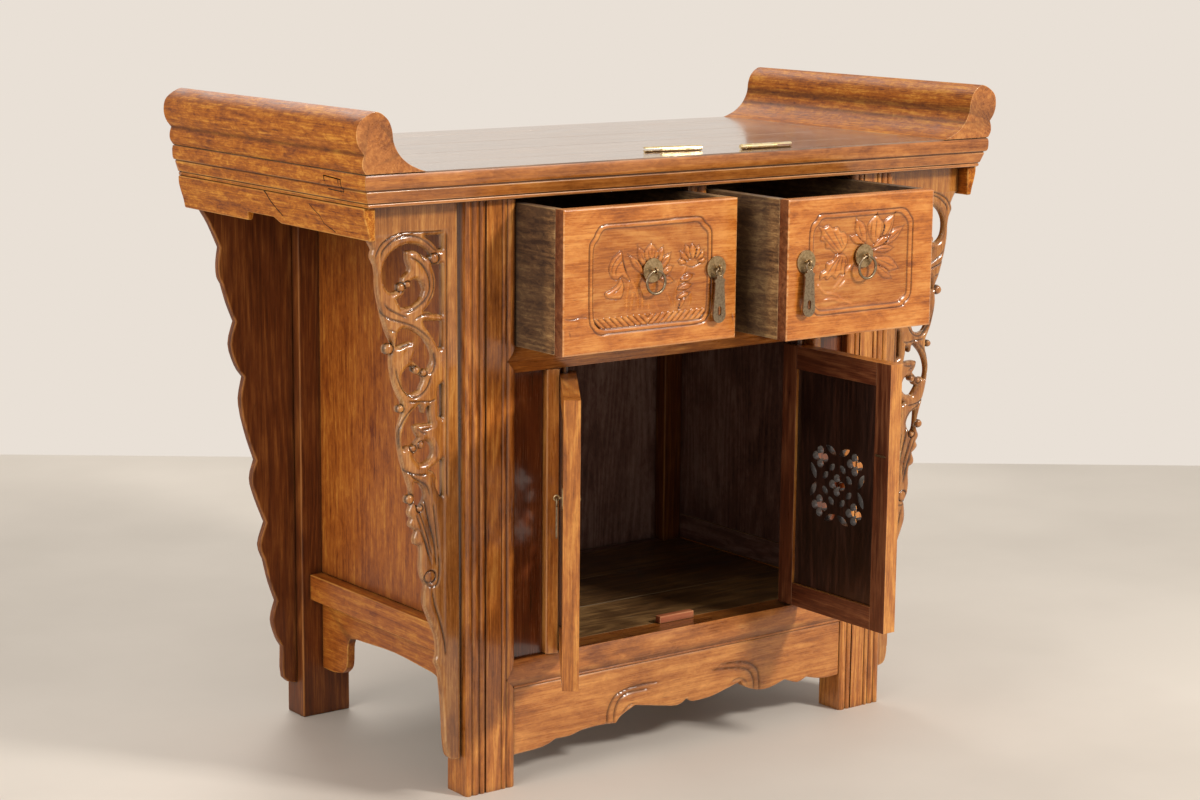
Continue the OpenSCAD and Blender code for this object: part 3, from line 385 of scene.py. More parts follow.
WOODS = {"front": oiled_elm(), "rail": polished_elm(), "end": amber_elm(), "side": side_elm(),
         "sunk": red_elm(), "carved": carved_elm(), "shaded": shaded_elm(), "table": table_elm(),
         "smoked": smoked_elm(), "handled": handled_elm(), "inner": dusty_elm(),
         "floor": worn_pine(), "raw": raw_pine(), "block": red_block(),
         "lacquered": lacquered_elm()}
print("woods:", ", ".join(WOODS))

# %% [markdown]
# A hand-cut board has eased edges. Each wooden CAD node is copied, its loose triangles are merged
# into faces, and its outer edges get a narrow bevel whose faces are marked as worn, with a painted
# highlight. Hollows between narrow faces get dirt and painted shade. Then each board gets its grain
# coordinates, along its longest side.


# %% Eased and grained copies
# Share of dirt and painted shade in a groove, or of dirt on a dark wall
DIRTY_AND_SHADED = 0.75


def extent(bm, axis):
    """Where a mesh begins and ends along an axis."""
    places = [v.co[axis] for v in bm.verts]
    return min(places), max(places)


def boards_of(bm):
    """The separate boards of a mesh, each as a list of vertices."""
    left = set(bm.verts)
    while left:
        board, edge = set(), {min(left, key=lambda v: v.index)}
        while edge:
            board |= edge
            edge = {vert for old in edge for link in old.link_edges for vert in link.verts} - board
        left -= board
        yield list(board)


def give_grain(bm, name, turn=0.0):
    """Writes the coordinates along and across each board, and a tone of its own."""
    grain = bm.verts.layers.float_vector.new("grain")
    tone = bm.verts.layers.float.new("tone")
    bm.verts.index_update()
    back = Matrix.Rotation(-turn, 3, "Z")
    for number, board in enumerate(boards_of(bm)):
        turned = np.array([back @ v.co for v in board])
        size = turned.max(0) - turned.min(0)
        order = np.argsort(-size)
        # Its name decides from which place in the log a board is cut
        seed = zlib.crc32(f"{name}{number}".encode())
        shift = np.array([seed % 97, seed % 31 * 0.02 + 0.03, seed % 53 * 0.002 + 0.05])
        local = turned[:, order] - turned.mean(0)[order] + shift
        for vert, where in zip(board, local):
            vert[grain] = Vector(where)
            vert[tone] = (seed % 89) / 89


def finish_mesh(bm, name, node, material, slot, keep=30):
    """Makes the piece that stands for a CAD node. Edges of more than keep degrees stay sharp."""
    mesh = bpy.data.meshes.new(name)
    for face in bm.faces:
        face.smooth = True
    bm.to_mesh(mesh)
    bm.free()
    mesh.set_sharp_from_angle(angle=math.radians(keep))
    mesh.materials.append(material)
    piece = new_object(name, mesh)
    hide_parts(node)
    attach(piece, body_of(node))
    return piece


def welded_copy(node):
    """A copy of a CAD node's triangles, joined at their corners."""
    bm = bmesh.new()
    bm.from_mesh(NODES[node].data)
    bmesh.ops.remove_doubles(bm, verts=bm.verts, dist=WELD)
    return bm


def merged_copy(node):
    """A copy of a CAD node with its triangles merged into whole faces."""
    bm = welded_copy(node)
    bmesh.ops.dissolve_limit(bm, angle_limit=math.radians(1), verts=bm.verts, edges=bm.edges)
    return bm


def ease_edges(bm, width_mm, sharper=40):
    """Bevels the outer edges and marks the new faces as worn, which also paints a highlight on
    them.
    """
    wear = bm.faces.layers.float.new("wear")
    edges = [e for e in bm.edges if e.is_manifold and e.is_convex
             and e.calc_face_angle() > math.radians(sharper)]
    made = bmesh.ops.bevel(bm, geom=edges, offset=width_mm * MM, offset_type="OFFSET",
                           segments=2, profile=0.5, affect="EDGES", material=-1,
                           clamp_overlap=True)
    for face in made["faces"]:
        face[wear] = 1.0


def settle_dirt_and_shade(bm, narrow_mm=14):
    """Marks the hollows between narrow faces, as in reeds and mouldings, for dirt and painted
    shade.
    """
    soil_and_shade = bm.verts.layers.float.new("dirt")
    for edge in bm.edges:
        if edge.is_manifold and not edge.is_convex and edge.calc_face_angle() > math.radians(5):
            widest = narrow_mm * MM * edge.calc_length()
            if all(face.calc_area() < widest for face in edge.link_faces):
                for vert in edge.verts:
                    vert[soil_and_shade] = DIRTY_AND_SHADED


def slice_board(bm, axis, places):
    """Cuts the faces of a board across an axis, so that a tone can change along it."""
    normal = Vector([float(i == axis) for i in range(3)])
    for spot in places:
        bmesh.ops.bisect_plane(bm, geom=bm.verts[:] + bm.edges[:] + bm.faces[:], dist=WELD,
                               plane_co=normal * spot, plane_no=normal)


def darken_walls(bm):
    """Darkens a drawer's walls, except for their front ends, whose skin has broken away."""
    soil_and_shade = bm.verts.layers.float["dirt"]
    front = extent(bm, 1)[0]
    bare, dark = front + 14 * MM, front + 26 * MM
    slice_board(bm, 1, [bare, dark])
    for vert in bm.verts:
        vert[soil_and_shade] = DIRTY_AND_SHADED if vert.co.y > dark - MM else 0.0


def redden_and_shade_panel(bm):
    """Darkens a side panel towards its top, where the varnish is thick and shade is painted under
    the top; it wears thin towards the bottom, and the lowest eighth is a little darker again.
    """
    soil_and_shade = bm.verts.layers.float["dirt"]
    low, high = extent(bm, 2)
    slice_board(bm, 2, [low + share * (high - low) for share in (0.15, 0.35, 0.55, 0.75)])
    for vert in bm.verts:
        share = (vert.co.z - low) / (high - low)
        vert[soil_and_shade] = 0.62 * share**3 + 0.25 * max(0.0, 1 - 8 * share)


def ease(node, finish, slot, width_mm, turn=0.0):
    """Replaces a CAD node by a copy with eased edges and grain."""
    bm = merged_copy(node)
    settle_dirt_and_shade(bm)
    if node.endswith("_drawer_walls"):
        darken_walls(bm)
    if node.endswith("_side_panel"):
        redden_and_shade_panel(bm)
    ease_edges(bm, width_mm)
    give_grain(bm, node, turn)
    piece = finish_mesh(bm, node + "_eased", node, WOODS[finish], slot)
    weighted = piece.modifiers.new("even_shading", "WEIGHTED_NORMAL")
    weighted.keep_sharp = True
    return piece


# %% [markdown]
# The plain boards come first. The doors stand open, so they are turned back before their grain is
# laid. Many boards have two finishes: lacquer where they are seen from outside, smoke and dirt on
# the faces that look into the cupboard.

# %% Plain boards
DOOR_TURNS = {"left": math.radians(-124.6), "right": math.radians(90.7)}
SIDES = ("left", "right")


def both(*parts):
    """The left and the right node of each part."""
    return [f"{side}_{part}" for part in parts for side in SIDES]


# Finish, material slot, width of the eased edge in millimetres, nodes
PLAIN = [
    ("front", "front_wood", 1.6,
     both("front_leg") + ["drawer_post"] + both("inner_stile") + ["drawer_rail"]),
    ("rail", "front_wood", 1.6, ["top_front_rail", "top_back_rail", "bottom_rail"]),
    # The sunk panels' darker finish partly paints the shadow of the open doors
    ("sunk", "front_wood", 0.8, both("fixed_panel")),
    ("end", "end_wood", 1.6, ["top_left_end", "top_right_end"] + both("flange", "cleat")),
    ("side", "end_wood", 1.6, both("side_panel", "side_rails", "side_apron")),
    ("shaded", "spandrel_wood", 2.0, both("rear_leg", "rear_wing")),
    ("inner", "inner_wood", 0.8, ["back_boards", "back_rails", "drawer_runners", "top_battens"]),
    ("floor", "inner_wood", 0.8, ["bottom_boards"]),
    ("table", "table_wood", 0.8, ["top_boards"]),
    ("raw", "raw_wood", 1.2, both("drawer_walls", "drawer_bottom")),
    ("block", "stop_wood", 1.0, ["door_stop"]),
]


def paint(piece, finish, chosen):
    """Gives another finish to the faces for which chosen(normal) is true."""
    piece.data.materials.append(WOODS[finish])
    number = len(piece.data.materials) - 1
    for polygon in piece.data.polygons:
        if chosen(polygon.normal):
            polygon.material_index = number


eased = {}
for finish, slot, width_mm, nodes in PLAIN:
    for node in nodes:
        eased[node] = ease(node, finish, slot, width_mm)
for side, turn in DOOR_TURNS.items():
    inward = Vector((-math.sin(turn), math.cos(turn), 0))
    for part, width_mm, dark, least in (("frame", 1.2, "handled", 0.3),
                                        ("panel", 0.6, "smoked", -0.6)):
        piece = ease(f"{side}_door_{part}", "front", "front_wood", width_mm, turn)
        paint(piece, dark, lambda normal: normal.dot(inward) > least)

for node in ("top_front_rail", "top_back_rail", "top_left_end", "top_right_end"):
    paint(eased[node], "table", lambda normal: normal.z > 0.7)
    paint(eased[node], "inner", lambda normal: normal.z < -0.7)
for node in both("fixed_panel", "inner_stile") + ["drawer_rail", "drawer_post"]:
    paint(eased[node], "inner", lambda normal: normal.y > 0.5 or normal.z < -0.5)
for side, way in zip(SIDES, (1, -1)):
    for part in ("_side_panel", "_side_rails"):
        paint(eased[side + part], "inner", lambda normal: normal.x * way > 0.5)
paint(eased["bottom_rail"], "inner", lambda normal: normal.z < -0.7 or normal.y > 0.7)
paint(eased["top_boards"], "inner", lambda normal: normal.z < 0.5)
for node in both("flange"):
    paint(eased[node], "rail", lambda normal: abs(normal.y) > 0.8)
print(len(eased), "nodes and two doors eased")

# %% [markdown]
# A carver draws on the board, sinks the ground, rounds the forms over and then cuts the veins. The
# same order is kept here: a board's face is laid out as a fine grid inside the outline of its CAD
# node, and every point of the grid is sunk by a depth in millimetres. Nothing stands higher than
# the board's own face. The grooves and deeper places also get dirt and painted shade, and the
# edges are rubbed paler with a painted highlight.


# %% Carving tools
# In millimetres: the deepest cut, the sunk ground of the drawers, and the crest of a leaf on it
DEEPEST, GROUND, CREST = 6, 2.1, 0.1


def bell(away):
    """One at the middle, falling softly to nothing."""
    return np.exp(-away ** 2)


def lattice(columns, rows):
    """Every place where a column crosses a row."""
    return np.stack(np.meshgrid(columns, rows, indexing="ij"), -1).reshape(-1, 2)


def smooth(points, closed=False, steps=5):
    """A smooth line through points, as rows of two ends."""
    p = np.array(points, float)
    p = np.concatenate([p[-1:], p, p[:2]] if closed else [p[:1], p, p[-1:]])
    line = []
    for a, b, c, d in zip(p, p[1:], p[2:], p[3:]):
        for t in np.arange(steps) / steps:
            line.append(0.5 * (2 * b + (c - a) * t + (2 * a - 5 * b + 4 * c - d) * t**2
                               + (3 * b - a - 3 * c + d) * t**3))
    line.append(line[0] if closed else p[-1])
    return np.hstack([line[:-1], line[1:]])


def nearest(spots, rows):
    """How far each spot is from the nearest of several straight lines, and the place on it."""
    best, place_on = np.full(len(spots), 1e6), spots.copy()
    for row in rows:
        start, way = row[:2], row[2:] - row[:2]
        share = np.clip((spots - start) @ way / max(way @ way, 1e-9), 0, 1)
        found = start + share[:, None] * way
        away = np.hypot(*(spots - found).T)
        closer = away < best
        best[closer] = away[closer]
        place_on[closer] = found[closer]
    return best, place_on


def inside(spots, rows):
    """Which spots lie inside the closed lines."""
    odd = np.zeros(len(spots), bool)
    x, z = spots.T
    for x0, z0, x1, z1 in rows:
        if z0 != z1:
            odd ^= ((z0 > z) != (z1 > z)) & (x < (x1 - x0) * (z - z0) / (z1 - z0) + x0)
    return odd


def around(spots, rows, margin):
    """The numbers of the spots within a margin of the box round the lines."""
    ends = rows.reshape(-1, 2)
    near = (spots > ends.min(0) - margin) & (spots < ends.max(0) + margin)
    return np.flatnonzero(np.all(near, axis=1))


def cut(depth, spots, lines, width, deep, closed=False):
    """Cuts round-bottomed grooves along smooth lines. Negative deep leaves raised strings."""
    for points in lines:
        rows = smooth(points, closed)
        at = around(spots, rows, 3 * width)
        fade = np.ones(len(at))
        for end in [] if closed else (rows[0, :2], rows[-1, 2:]):
            fade *= 1 - 0.9 * bell(np.hypot(*(spots[at] - end).T) / (4 * width))
        depth[at] += fade * deep * bell(nearest(spots[at], rows)[0] / width)


def raise_leaf(depth, lines, spots, outline, soft):
    """Rounds a form over: it rises inwards from the ground, with a fine groove round it."""
    rows = smooth(outline, True)
    at = around(spots, rows, 3)
    away = nearest(spots[at], rows)[0]
    within = inside(spots[at], rows)
    lines[at[within]] = 0
    lines[at] += 0.6 * bell(away / 0.8)
    share = np.clip(away[within] / soft, 0, 1)
    depth[at[within]] = GROUND + (CREST - GROUND) * (1 - (1 - share) ** 2)


def petal(base, tip, width):
    """Outline of a pointed petal from its base to its tip."""
    base, tip = np.array(base, float), np.array(tip, float)
    across = np.array([base[1] - tip[1], tip[0] - base[0]]) / np.hypot(*(tip - base)) * width
    near, far = base + 0.3 * (tip - base), base + 0.65 * (tip - base)
    return [base, near + 0.8 * across, far + across, tip, tip, far - across, near - 0.8 * across]


def front_edges(node):
    """The outline of a board's front face with its holes, as rows of x and z in millimetres."""
    bm = merged_copy(node)
    front, back = extent(bm, 1)
    rows = []
    for edge in bm.edges:
        seen = [f for f in edge.link_faces
                if f.normal.y < -0.9 and all(abs(v.co.y - front) < 0.3 * MM for v in f.verts)]
        if len(seen) == 1:
            rows.append([c / MM for v in edge.verts for c in (v.co.x, v.co.z)])
    bm.free()
    return np.array(rows), front, back


def carve(node, finish, slot, step, relief):
    """Replaces a board by one whose front is sunk by relief(spots, distance from the outline).

    The front is a grid with the given step; sizes are in millimetres until the vertices are made.
    """
    outline, front, back = front_edges(node)
    low, high = outline.reshape(-1, 2).min(0), outline.reshape(-1, 2).max(0)
    count = np.ceil((high - low) / step).astype(int)
    axes_mm = [np.linspace(low[i], high[i], count[i] + 1) for i in (0, 1)]
    middles = [(a[1:] + a[:-1]) / 2 for a in axes_mm]
    i, j = np.divmod(np.flatnonzero(inside(lattice(*middles), outline)), count[1])
    corner = i * (count[1] + 1) + j
    cells = np.stack([corner, corner + count[1] + 1, corner + count[1] + 2, corner + 1], -1)
    used, cells = np.unique(cells, return_inverse=True)
    cells = cells.reshape(-1, 4)
    grid = lattice(*axes_mm)[used]

    # Edges with a cell on one side only form the rim, which is pulled onto the outline
    size = len(grid)
    sides = np.concatenate([cells[:, [k, (k + 1) % 4]] for k in range(4)])
    codes, twins = sides[:, 0] * size + sides[:, 1], sides[:, 1] * size + sides[:, 0]
    rim = sides[~np.isin(codes, twins)]
    on_rim = np.unique(rim)
    away, target = nearest(grid[on_rim], outline)
    # A little more than a cell's diagonal
    move = away < 1.6 * step
    grid[on_rim[move]] = target[move]
    reach = nearest(grid, outline)[0]
    reach[on_rim] = 0
    depth, dirt = relief(grid, reach)

    deep = np.clip(depth, 0, DEEPEST) * MM
    front_verts = np.stack([grid[:, 0] * MM, front + deep, grid[:, 1] * MM], -1)
    back_verts = np.stack([grid[:, 0] * MM, np.full(size, back), grid[:, 1] * MM], -1)
    walls = np.stack([rim[:, 1], rim[:, 0], rim[:, 0] + size, rim[:, 1] + size], -1)
    faces = np.concatenate([cells, cells[:, ::-1] + size, walls])
    mesh = bpy.data.meshes.new(node)
    mesh.from_pydata(np.concatenate([front_verts, back_verts]).tolist(), [], faces.tolist())
    bm = bmesh.new()
    bm.from_mesh(mesh)
    bpy.data.meshes.remove(mesh)
    bm.verts.ensure_lookup_table()
    wear, soil_and_shade = bm.verts.layers.float.new("wear"), bm.verts.layers.float.new("dirt")
    # Paler near the outline: worn edges that also get a painted highlight
    rubbed_and_highlit = bell((reach - 0.8) / 0.9)
    for number in range(size):
        bm.verts[number][wear] = rubbed_and_highlit[number]
        bm.verts[number][soil_and_shade] = min(max(dirt[number], 0), 1)
    give_grain(bm, node)
    piece = finish_mesh(bm, node + "_carved", node, WOODS[finish], slot, keep=45)
    print(piece.name, len(piece.data.polygons), "faces")
    return piece


print("carving tools ready")

# %% [markdown]
# The spandrels are pierced scrollwork: rounded stems that end in berries and curled leaves, with
# strings and veins cut along them. They are drawn once, by distance from the leg and height.

# %% Spandrels
LEG_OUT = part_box("right_front_leg")[1].x / MM
STEMS = [
    [(123, 690), (120, 700), (112, 711), (95, 719), (80, 721), (50, 720), (23, 720)],
    [(114, 690), (113, 700), (105, 708), (95, 714), (80, 717), (65, 715), (52, 709), (42, 701),
     (34, 694)],
    [(119, 636), (112, 625), (104, 619), (95, 616), (86, 613), (70, 607), (60, 601), (50, 593),
     (43, 585)],
    [(112, 640), (106, 632), (98, 627), (88, 622), (76, 617)],
    [(76, 692), (60, 684), (50, 672), (46, 658), (48, 644), (58, 633), (72, 626), (84, 624)],
    [(44, 674), (40, 660), (42, 645), (50, 633)], [(106, 606), (98, 603), (92, 600)],
    [(40, 575), (38, 560), (42, 548), (50, 545)],
    [(95, 560), (92, 545), (84, 530), (72, 520), (60, 521), (50, 530), (44, 545)],
    [(80, 515), (70, 514), (56, 513), (44, 512), (36, 516)],
    [(66, 510), (78, 500), (86, 488), (90, 475), (88, 455)], [(40, 480), (50, 478), (60, 478)],
    [(90, 440), (82, 430), (72, 425), (60, 422), (48, 422)],
    [(78, 430), (70, 420), (60, 414), (50, 406), (46, 392)],
    [(34, 320), (33, 300), (36, 282), (46, 279), (53, 288)],
    [(44, 276), (40, 256), (32, 232), (26, 208), (24, 186)],
]
SCOOPS = [
    [(72, 694), (62, 686), (53, 673), (50, 658)], [(96, 676), (98, 660), (94, 646)],
    [(60, 588), (70, 584), (80, 574), (86, 560)], [(90, 600), (84, 594), (76, 590)],
    [(100, 560), (98, 545), (90, 530)], [(60, 482), (52, 476), (48, 466)], [(84, 470), (84, 455)],
    [(66, 402), (58, 378), (49, 350), (42, 322)], [(58, 410), (50, 384), (44, 352), (38, 318)],
    [(60, 640), (70, 632), (82, 630)], [(50, 545), (44, 556), (46, 570)],
]
VEINS = [
    [(70, 396), (60, 372), (50, 345), (44, 318)], [(68, 376), (58, 352), (50, 328), (45, 308)],
    [(62, 356), (54, 336), (48, 316)], [(54, 392), (48, 366), (40, 336), (38, 304)],
    [(42, 386), (38, 356), (34, 322)], [(70, 613), (60, 618), (50, 620), (38, 619)],
    [(92, 580), (80, 584), (68, 585)], [(66, 481), (56, 474), (48, 472)],
    [(72, 560), (64, 556), (58, 552)], [(62, 700), (56, 690), (52, 680)],
]
LEG_LINE = [(22, 720), (22, 560), (22, 390)]
# How far from the leg the carved field begins, and its height
FIELD_FROM, FIELD_TOP = 24, 720
# Place and radius
BERRIES = [(38, 687, 6.5), (86, 655, 5.5), (77, 658, 4.5), (65, 552, 5), (54, 548, 4.5),
           (70, 456, 4.5), (58, 459, 5), (46, 292, 8), (104, 582, 6.5), (88, 507, 5),
           (75, 393, 6), (61, 380, 5)]


def spandrel_relief(side):
    """The carving of a spandrel on the left (-1) or right (1)."""
    def relief(spots, reach):
        x, z = side * spots[:, 0] - LEG_OUT, spots[:, 1]
        drawn = np.stack([x, z], -1)
        carved = np.clip((x - FIELD_FROM) / 3, 0, 1) * np.clip((FIELD_TOP - z) / 2, 0, 1)
        depth = 0.5 * carved + 4.2 * carved * (1 - np.clip(reach / 7.5, 0, 1)) ** 2
        depth += 0.8 * bell(reach / 0.8)
        cut(depth, drawn, SCOOPS, 4.5, 2.6)
        lines = np.zeros(len(spots))
        cut(lines, drawn, STEMS, 1.1, 1.6)
        cut(lines, drawn, VEINS, 1.1, 1.5)
        cut(lines, drawn, [LEG_LINE], 0.9, 1.3)
        for middle_x, middle_z, radius in BERRIES:
            away = np.hypot(x - middle_x, z - middle_z)
            ball = away < radius
            depth[ball] = 0.2 + 2.2 * (away[ball] / radius) ** 3
            lines[ball] = 0
            lines += 1.6 * bell((away - radius) / 0.9)
        # Grooves and the deeper carving are darkened: dirt and painted shade
        soil_and_shade = 0.55 * lines + 0.25 * carved * np.clip((depth - 1.4) / 2, 0, 1)
        return depth + lines, soil_and_shade
    return relief


for name, side in zip(SIDES, (-1, 1)):
    carve(name + "_spandrel", "carved", "spandrel_wood", 1.15, spandrel_relief(side))

# %% [markdown]
# Each drawer front has a sunk reserve within a double line with notched, rounded corners. The left
# one shows a lotus in bloom between leaves, a smaller lotus and reeds over a gadrooned border; the
# right one a large lotus with ribbed leaves over water. Places are across from the middle and up.
# Petals are base, tip and width, and each overlaps the last.

# %% Drawer fronts
LEFT_PETALS = [
    (-150, 660, -177, 688, 5), (-130, 656, -105, 650, 5), (-130, 660, -107, 669, 5.5),
    (-132, 664, -111, 686, 6), (-148, 668, -163, 698, 6), (-136, 668, -123, 695, 6),
    (-142, 668, -142, 701, 11), (-86, 672, -100, 675, 4), (-82, 674, -97, 687, 4.5),
    (-68, 672, -55, 675, 4.5), (-70, 674, -58, 686, 5), (-80, 676, -88, 695, 5),
    (-72, 676, -66, 693, 5), (-76, 675, -77, 696, 5.5), (-97, 650, -74, 656, 5),
    (-101, 640, -76, 644, 4.5), (-102, 628, -80, 634, 4), (-98, 614, -88, 630, 3),
]
LEFT_LEAVES = [
    [(-174, 656), (-181, 668), (-185, 681), (-188, 693), (-197, 689), (-204, 682), (-207, 672),
     (-203, 662), (-195, 658), (-188, 662), (-184, 660)],
    [(-189, 660), (-195, 652), (-204, 647), (-213, 643), (-210, 637), (-200, 635), (-190, 634),
     (-185, 641), (-184, 651)],
]
LEFT_STRINGS = [
    [(-180, 613), (-180, 635), (-176, 655)], [(-174, 613), (-172, 632), (-168, 648)],
    [(-163, 613), (-163, 632), (-167, 646), (-175, 660)], [(-156, 613), (-156, 632), (-159, 648)],
    [(-146, 630), (-145, 613)], [(-137, 628), (-128, 614)],
    [(-119, 640), (-112, 626), (-108, 614)],
    [(-85, 669), (-91, 660), (-98, 650), (-103, 640), (-104, 628), (-105, 614)],
    [(-92, 636), (-94, 625), (-92, 614)], [(-82, 640), (-80, 626), (-83, 614)],
]
LEFT_VEINS = [
    [(-148, 693), (-146, 683), (-142, 678), (-138, 683), (-136, 693)], [(-142, 696), (-142, 684)],
    [(-203, 665), (-203, 674), (-197, 683), (-189, 689)],
    [(-197, 662), (-197, 671), (-191, 679), (-185, 683)], [(-188, 688), (-184, 676), (-179, 665)],
    [(-187, 654), (-194, 646), (-202, 642)], [(-170, 682), (-160, 671)],
    [(-160, 690), (-152, 676)], [(-127, 689), (-133, 677)], [(-116, 682), (-127, 672)],
    [(-112, 667), (-124, 663)], [(-110, 651), (-122, 654)], [(-94, 653), (-86, 652), (-82, 656)],
    [(-97, 641), (-86, 642)], [(-90, 670), (-76, 666), (-60, 672)],
    [(-277, 617), (-262, 615), (-250, 617), (-237, 615)], [(-268, 602), (-265, 592)],
    [(-13, 604), (-10, 590)],
]
RIGHT_PETALS = [
    (160, 684, 131, 698, 5.5), (182, 678, 226, 704, 7), (160, 686, 143, 719, 8.5),
    (182, 684, 209, 722, 8.5), (176, 684, 178, 723, 14), (172, 679, 202, 694, 5.5),
    (172, 676, 209, 677, 5.5), (176, 666, 219, 649, 8.5), (176, 656, 207, 637, 6),
]
RIGHT_LEAVES = [
    [(79, 713), (88, 711), (96, 714), (103, 709), (112, 710), (116, 704), (124, 702), (129, 694),
     (126, 684), (118, 676), (108, 676), (100, 682), (92, 684), (90, 692), (82, 695), (84, 704)],
    [(83, 644), (84, 653), (92, 657), (94, 665), (104, 668), (109, 674), (118, 676), (127, 671),
     (130, 662), (125, 656), (124, 648), (116, 649), (110, 643), (103, 648), (95, 643), (90, 647)],
]
RIGHT_STRINGS = [
    [(140, 662), (128, 652), (117, 640), (103, 626)], [(131, 643), (121, 635), (111, 627)],
    [(76, 640), (84, 632), (92, 626), (100, 625), (112, 622), (120, 616), (130, 612), (142, 608)],
    [(86, 616), (100, 618), (112, 616), (126, 610)], [(84, 644), (80, 636), (75, 632)],
    [(73, 663), (77, 667), (81, 663), (77, 659), (73, 663)],
]
RIGHT_VEINS = [
    [(116, 678), (104, 690), (86, 710)], [(120, 680), (112, 692), (102, 706)],
    [(122, 684), (118, 692), (114, 700)], [(112, 677), (98, 688), (84, 702)],
    [(116, 674), (104, 662), (94, 650)], [(118, 674), (110, 660), (106, 649)],
    [(121, 674), (118, 662), (117, 650)], [(124, 671), (125, 662), (124, 653)],
    [(176, 690), (176, 704), (178, 718)], [(170, 690), (168, 702), (170, 714)],
    [(183, 690), (187, 702), (187, 713)], [(154, 692), (149, 702), (146, 712)],
    [(190, 688), (200, 702), (206, 714)], [(188, 682), (204, 690), (218, 699)],
    [(180, 664), (196, 658), (212, 651)], [(182, 654), (194, 647), (204, 640)],
    [(178, 677), (192, 677), (204, 677)],
]
LEFT_RESERVE = [
    [(-237, 612), (-238, 650), (-238, 690), (-237, 705), (-231, 713), (-227, 720), (-218, 727),
     (-190, 728), (-140, 728), (-90, 729), (-66, 728), (-58, 721), (-50, 714), (-47, 704),
     (-47, 660), (-48, 612), (-53, 600), (-64, 594), (-110, 593), (-160, 593), (-205, 593),
     (-222, 593), (-231, 600)],
    [(-231, 616), (-232, 650), (-232, 690), (-230, 703), (-224, 710), (-220, 717), (-212, 722),
     (-180, 722), (-140, 722), (-90, 722), (-70, 722), (-62, 715), (-55, 709), (-53, 700),
     (-53, 660), (-54, 616), (-58, 605), (-68, 599), (-110, 599), (-160, 599), (-205, 599),
     (-218, 600), (-226, 606)],
]
RIGHT_RESERVE = [
    [(63, 622), (63, 660), (63, 700), (66, 715), (73, 721), (80, 728), (100, 728), (150, 728),
     (200, 728), (222, 728), (231, 724), (236, 718), (241, 710), (241, 690), (241, 650),
     (241, 620), (238, 610), (231, 604), (222, 599), (180, 599), (130, 599), (85, 599), (75, 602),
     (67, 610)],
    [(70, 624), (70, 660), (70, 698), (72, 709), (78, 715), (86, 722), (110, 722), (150, 722),
     (195, 722), (216, 722), (224, 718), (230, 712), (233, 704), (233, 690), (233, 650),
     (233, 622), (231, 614), (224, 609), (216, 605), (180, 605), (130, 605), (90, 605), (80, 607),
     (73, 614)],
]


# The gadrooned border: its ends and its heights, and the width and lean of a gadroon
BORDER_X, BORDER_Z, GADROON, LEAN = (-229, -57), (600, 613), 9.2, 1.1


def drawer_relief(reserve, petals, leaves, strings, veins, border_from=None):
    """The carving of a drawer front; gadroons start from the middle of their border."""
    def relief(spots, reach):
        depth, lines = np.zeros(len(spots)), np.zeros(len(spots))
        rows = smooth(reserve[1], True)
        at = np.flatnonzero(inside(spots, rows))
        edge = nearest(spots[at], rows)[0]
        depth[at] = GROUND * np.clip(edge / 2.5, 0, 1)
        if border_from is not None:
            # Gadroons lean outwards from the middle
            x, z = spots.T
            (left, right), (low, high) = BORDER_X, BORDER_Z
            row = (z > low) & (z < high) & (x > left) & (x < right)
            wave = (np.abs(x - border_from) - LEAN * (z - low)) / GADROON
            depth[row] = 0.2 + 1.5 * (1 - np.abs(np.sin(math.pi * wave[row])) ** 0.6)
            lines[row] = 0.9 * (1 - np.abs(np.sin(math.pi * wave[row]))) ** 3
        cut(depth, spots, strings, 1.7, -1.7)
        for outline in leaves:
            raise_leaf(depth, lines, spots, outline, 5)
        for x0, z0, x1, z1, width in petals:
            raise_leaf(depth, lines, spots, petal((x0, z0), (x1, z1), width), 0.8 * width)
        cut(lines, spots, veins, 0.8, 0.9)
        cut(lines, spots, reserve, 1.0, 1.3, True)
        depth = np.clip(depth, 0, None)
        # Grooves and the sunk ground are darkened: dirt and painted shade
        soil_and_shade = 0.75 * lines + 0.22 * np.clip(depth / GROUND, 0, 1) ** 3
        return depth + lines + 1.1 * bell(reach), soil_and_shade
    return relief


LEFT = drawer_relief(LEFT_RESERVE, LEFT_PETALS, LEFT_LEAVES, LEFT_STRINGS, LEFT_VEINS, -147)
RIGHT = drawer_relief(RIGHT_RESERVE, RIGHT_PETALS, RIGHT_LEAVES, RIGHT_STRINGS, RIGHT_VEINS)
for name, relief in zip(SIDES, (LEFT, RIGHT)):
    piece = carve(name + "_drawer_front", "lacquered", "front_wood", 1.05, relief)
    paint(piece, "handled", lambda normal: abs(normal.x) > 0.8)
    paint(piece, "raw", lambda normal: normal.y > 0.8)

# %% [markdown]
# The apron's lower edge breaks twice into small cloud scrolls, each led out of the face by two
# strings that fade into the flat board.

# %% Apron
APRON_STRINGS = [
    [(-128, 50), (-128, 60), (-127, 70), (-122, 82), (-115, 90), (-105, 94), (-90, 97), (-66, 98),
     (-40, 97)],
    [(-117, 50), (-117, 60), (-115, 72), (-110, 82), (-102, 88), (-90, 91), (-76, 91), (-56, 90)],
    [(122, 55), (123, 64), (122, 72), (118, 81), (110, 88), (98, 92), (84, 94), (70, 96),
     (44, 98)],
    [(133, 50), (133, 60), (132, 70), (130, 82), (124, 90), (114, 96), (100, 100), (82, 102),
     (58, 103)],
    [(80, 74), (90, 77), (100, 77), (108, 72), (112, 65)],
    [(-80, 74), (-90, 74), (-99, 69), (-106, 62)],
]


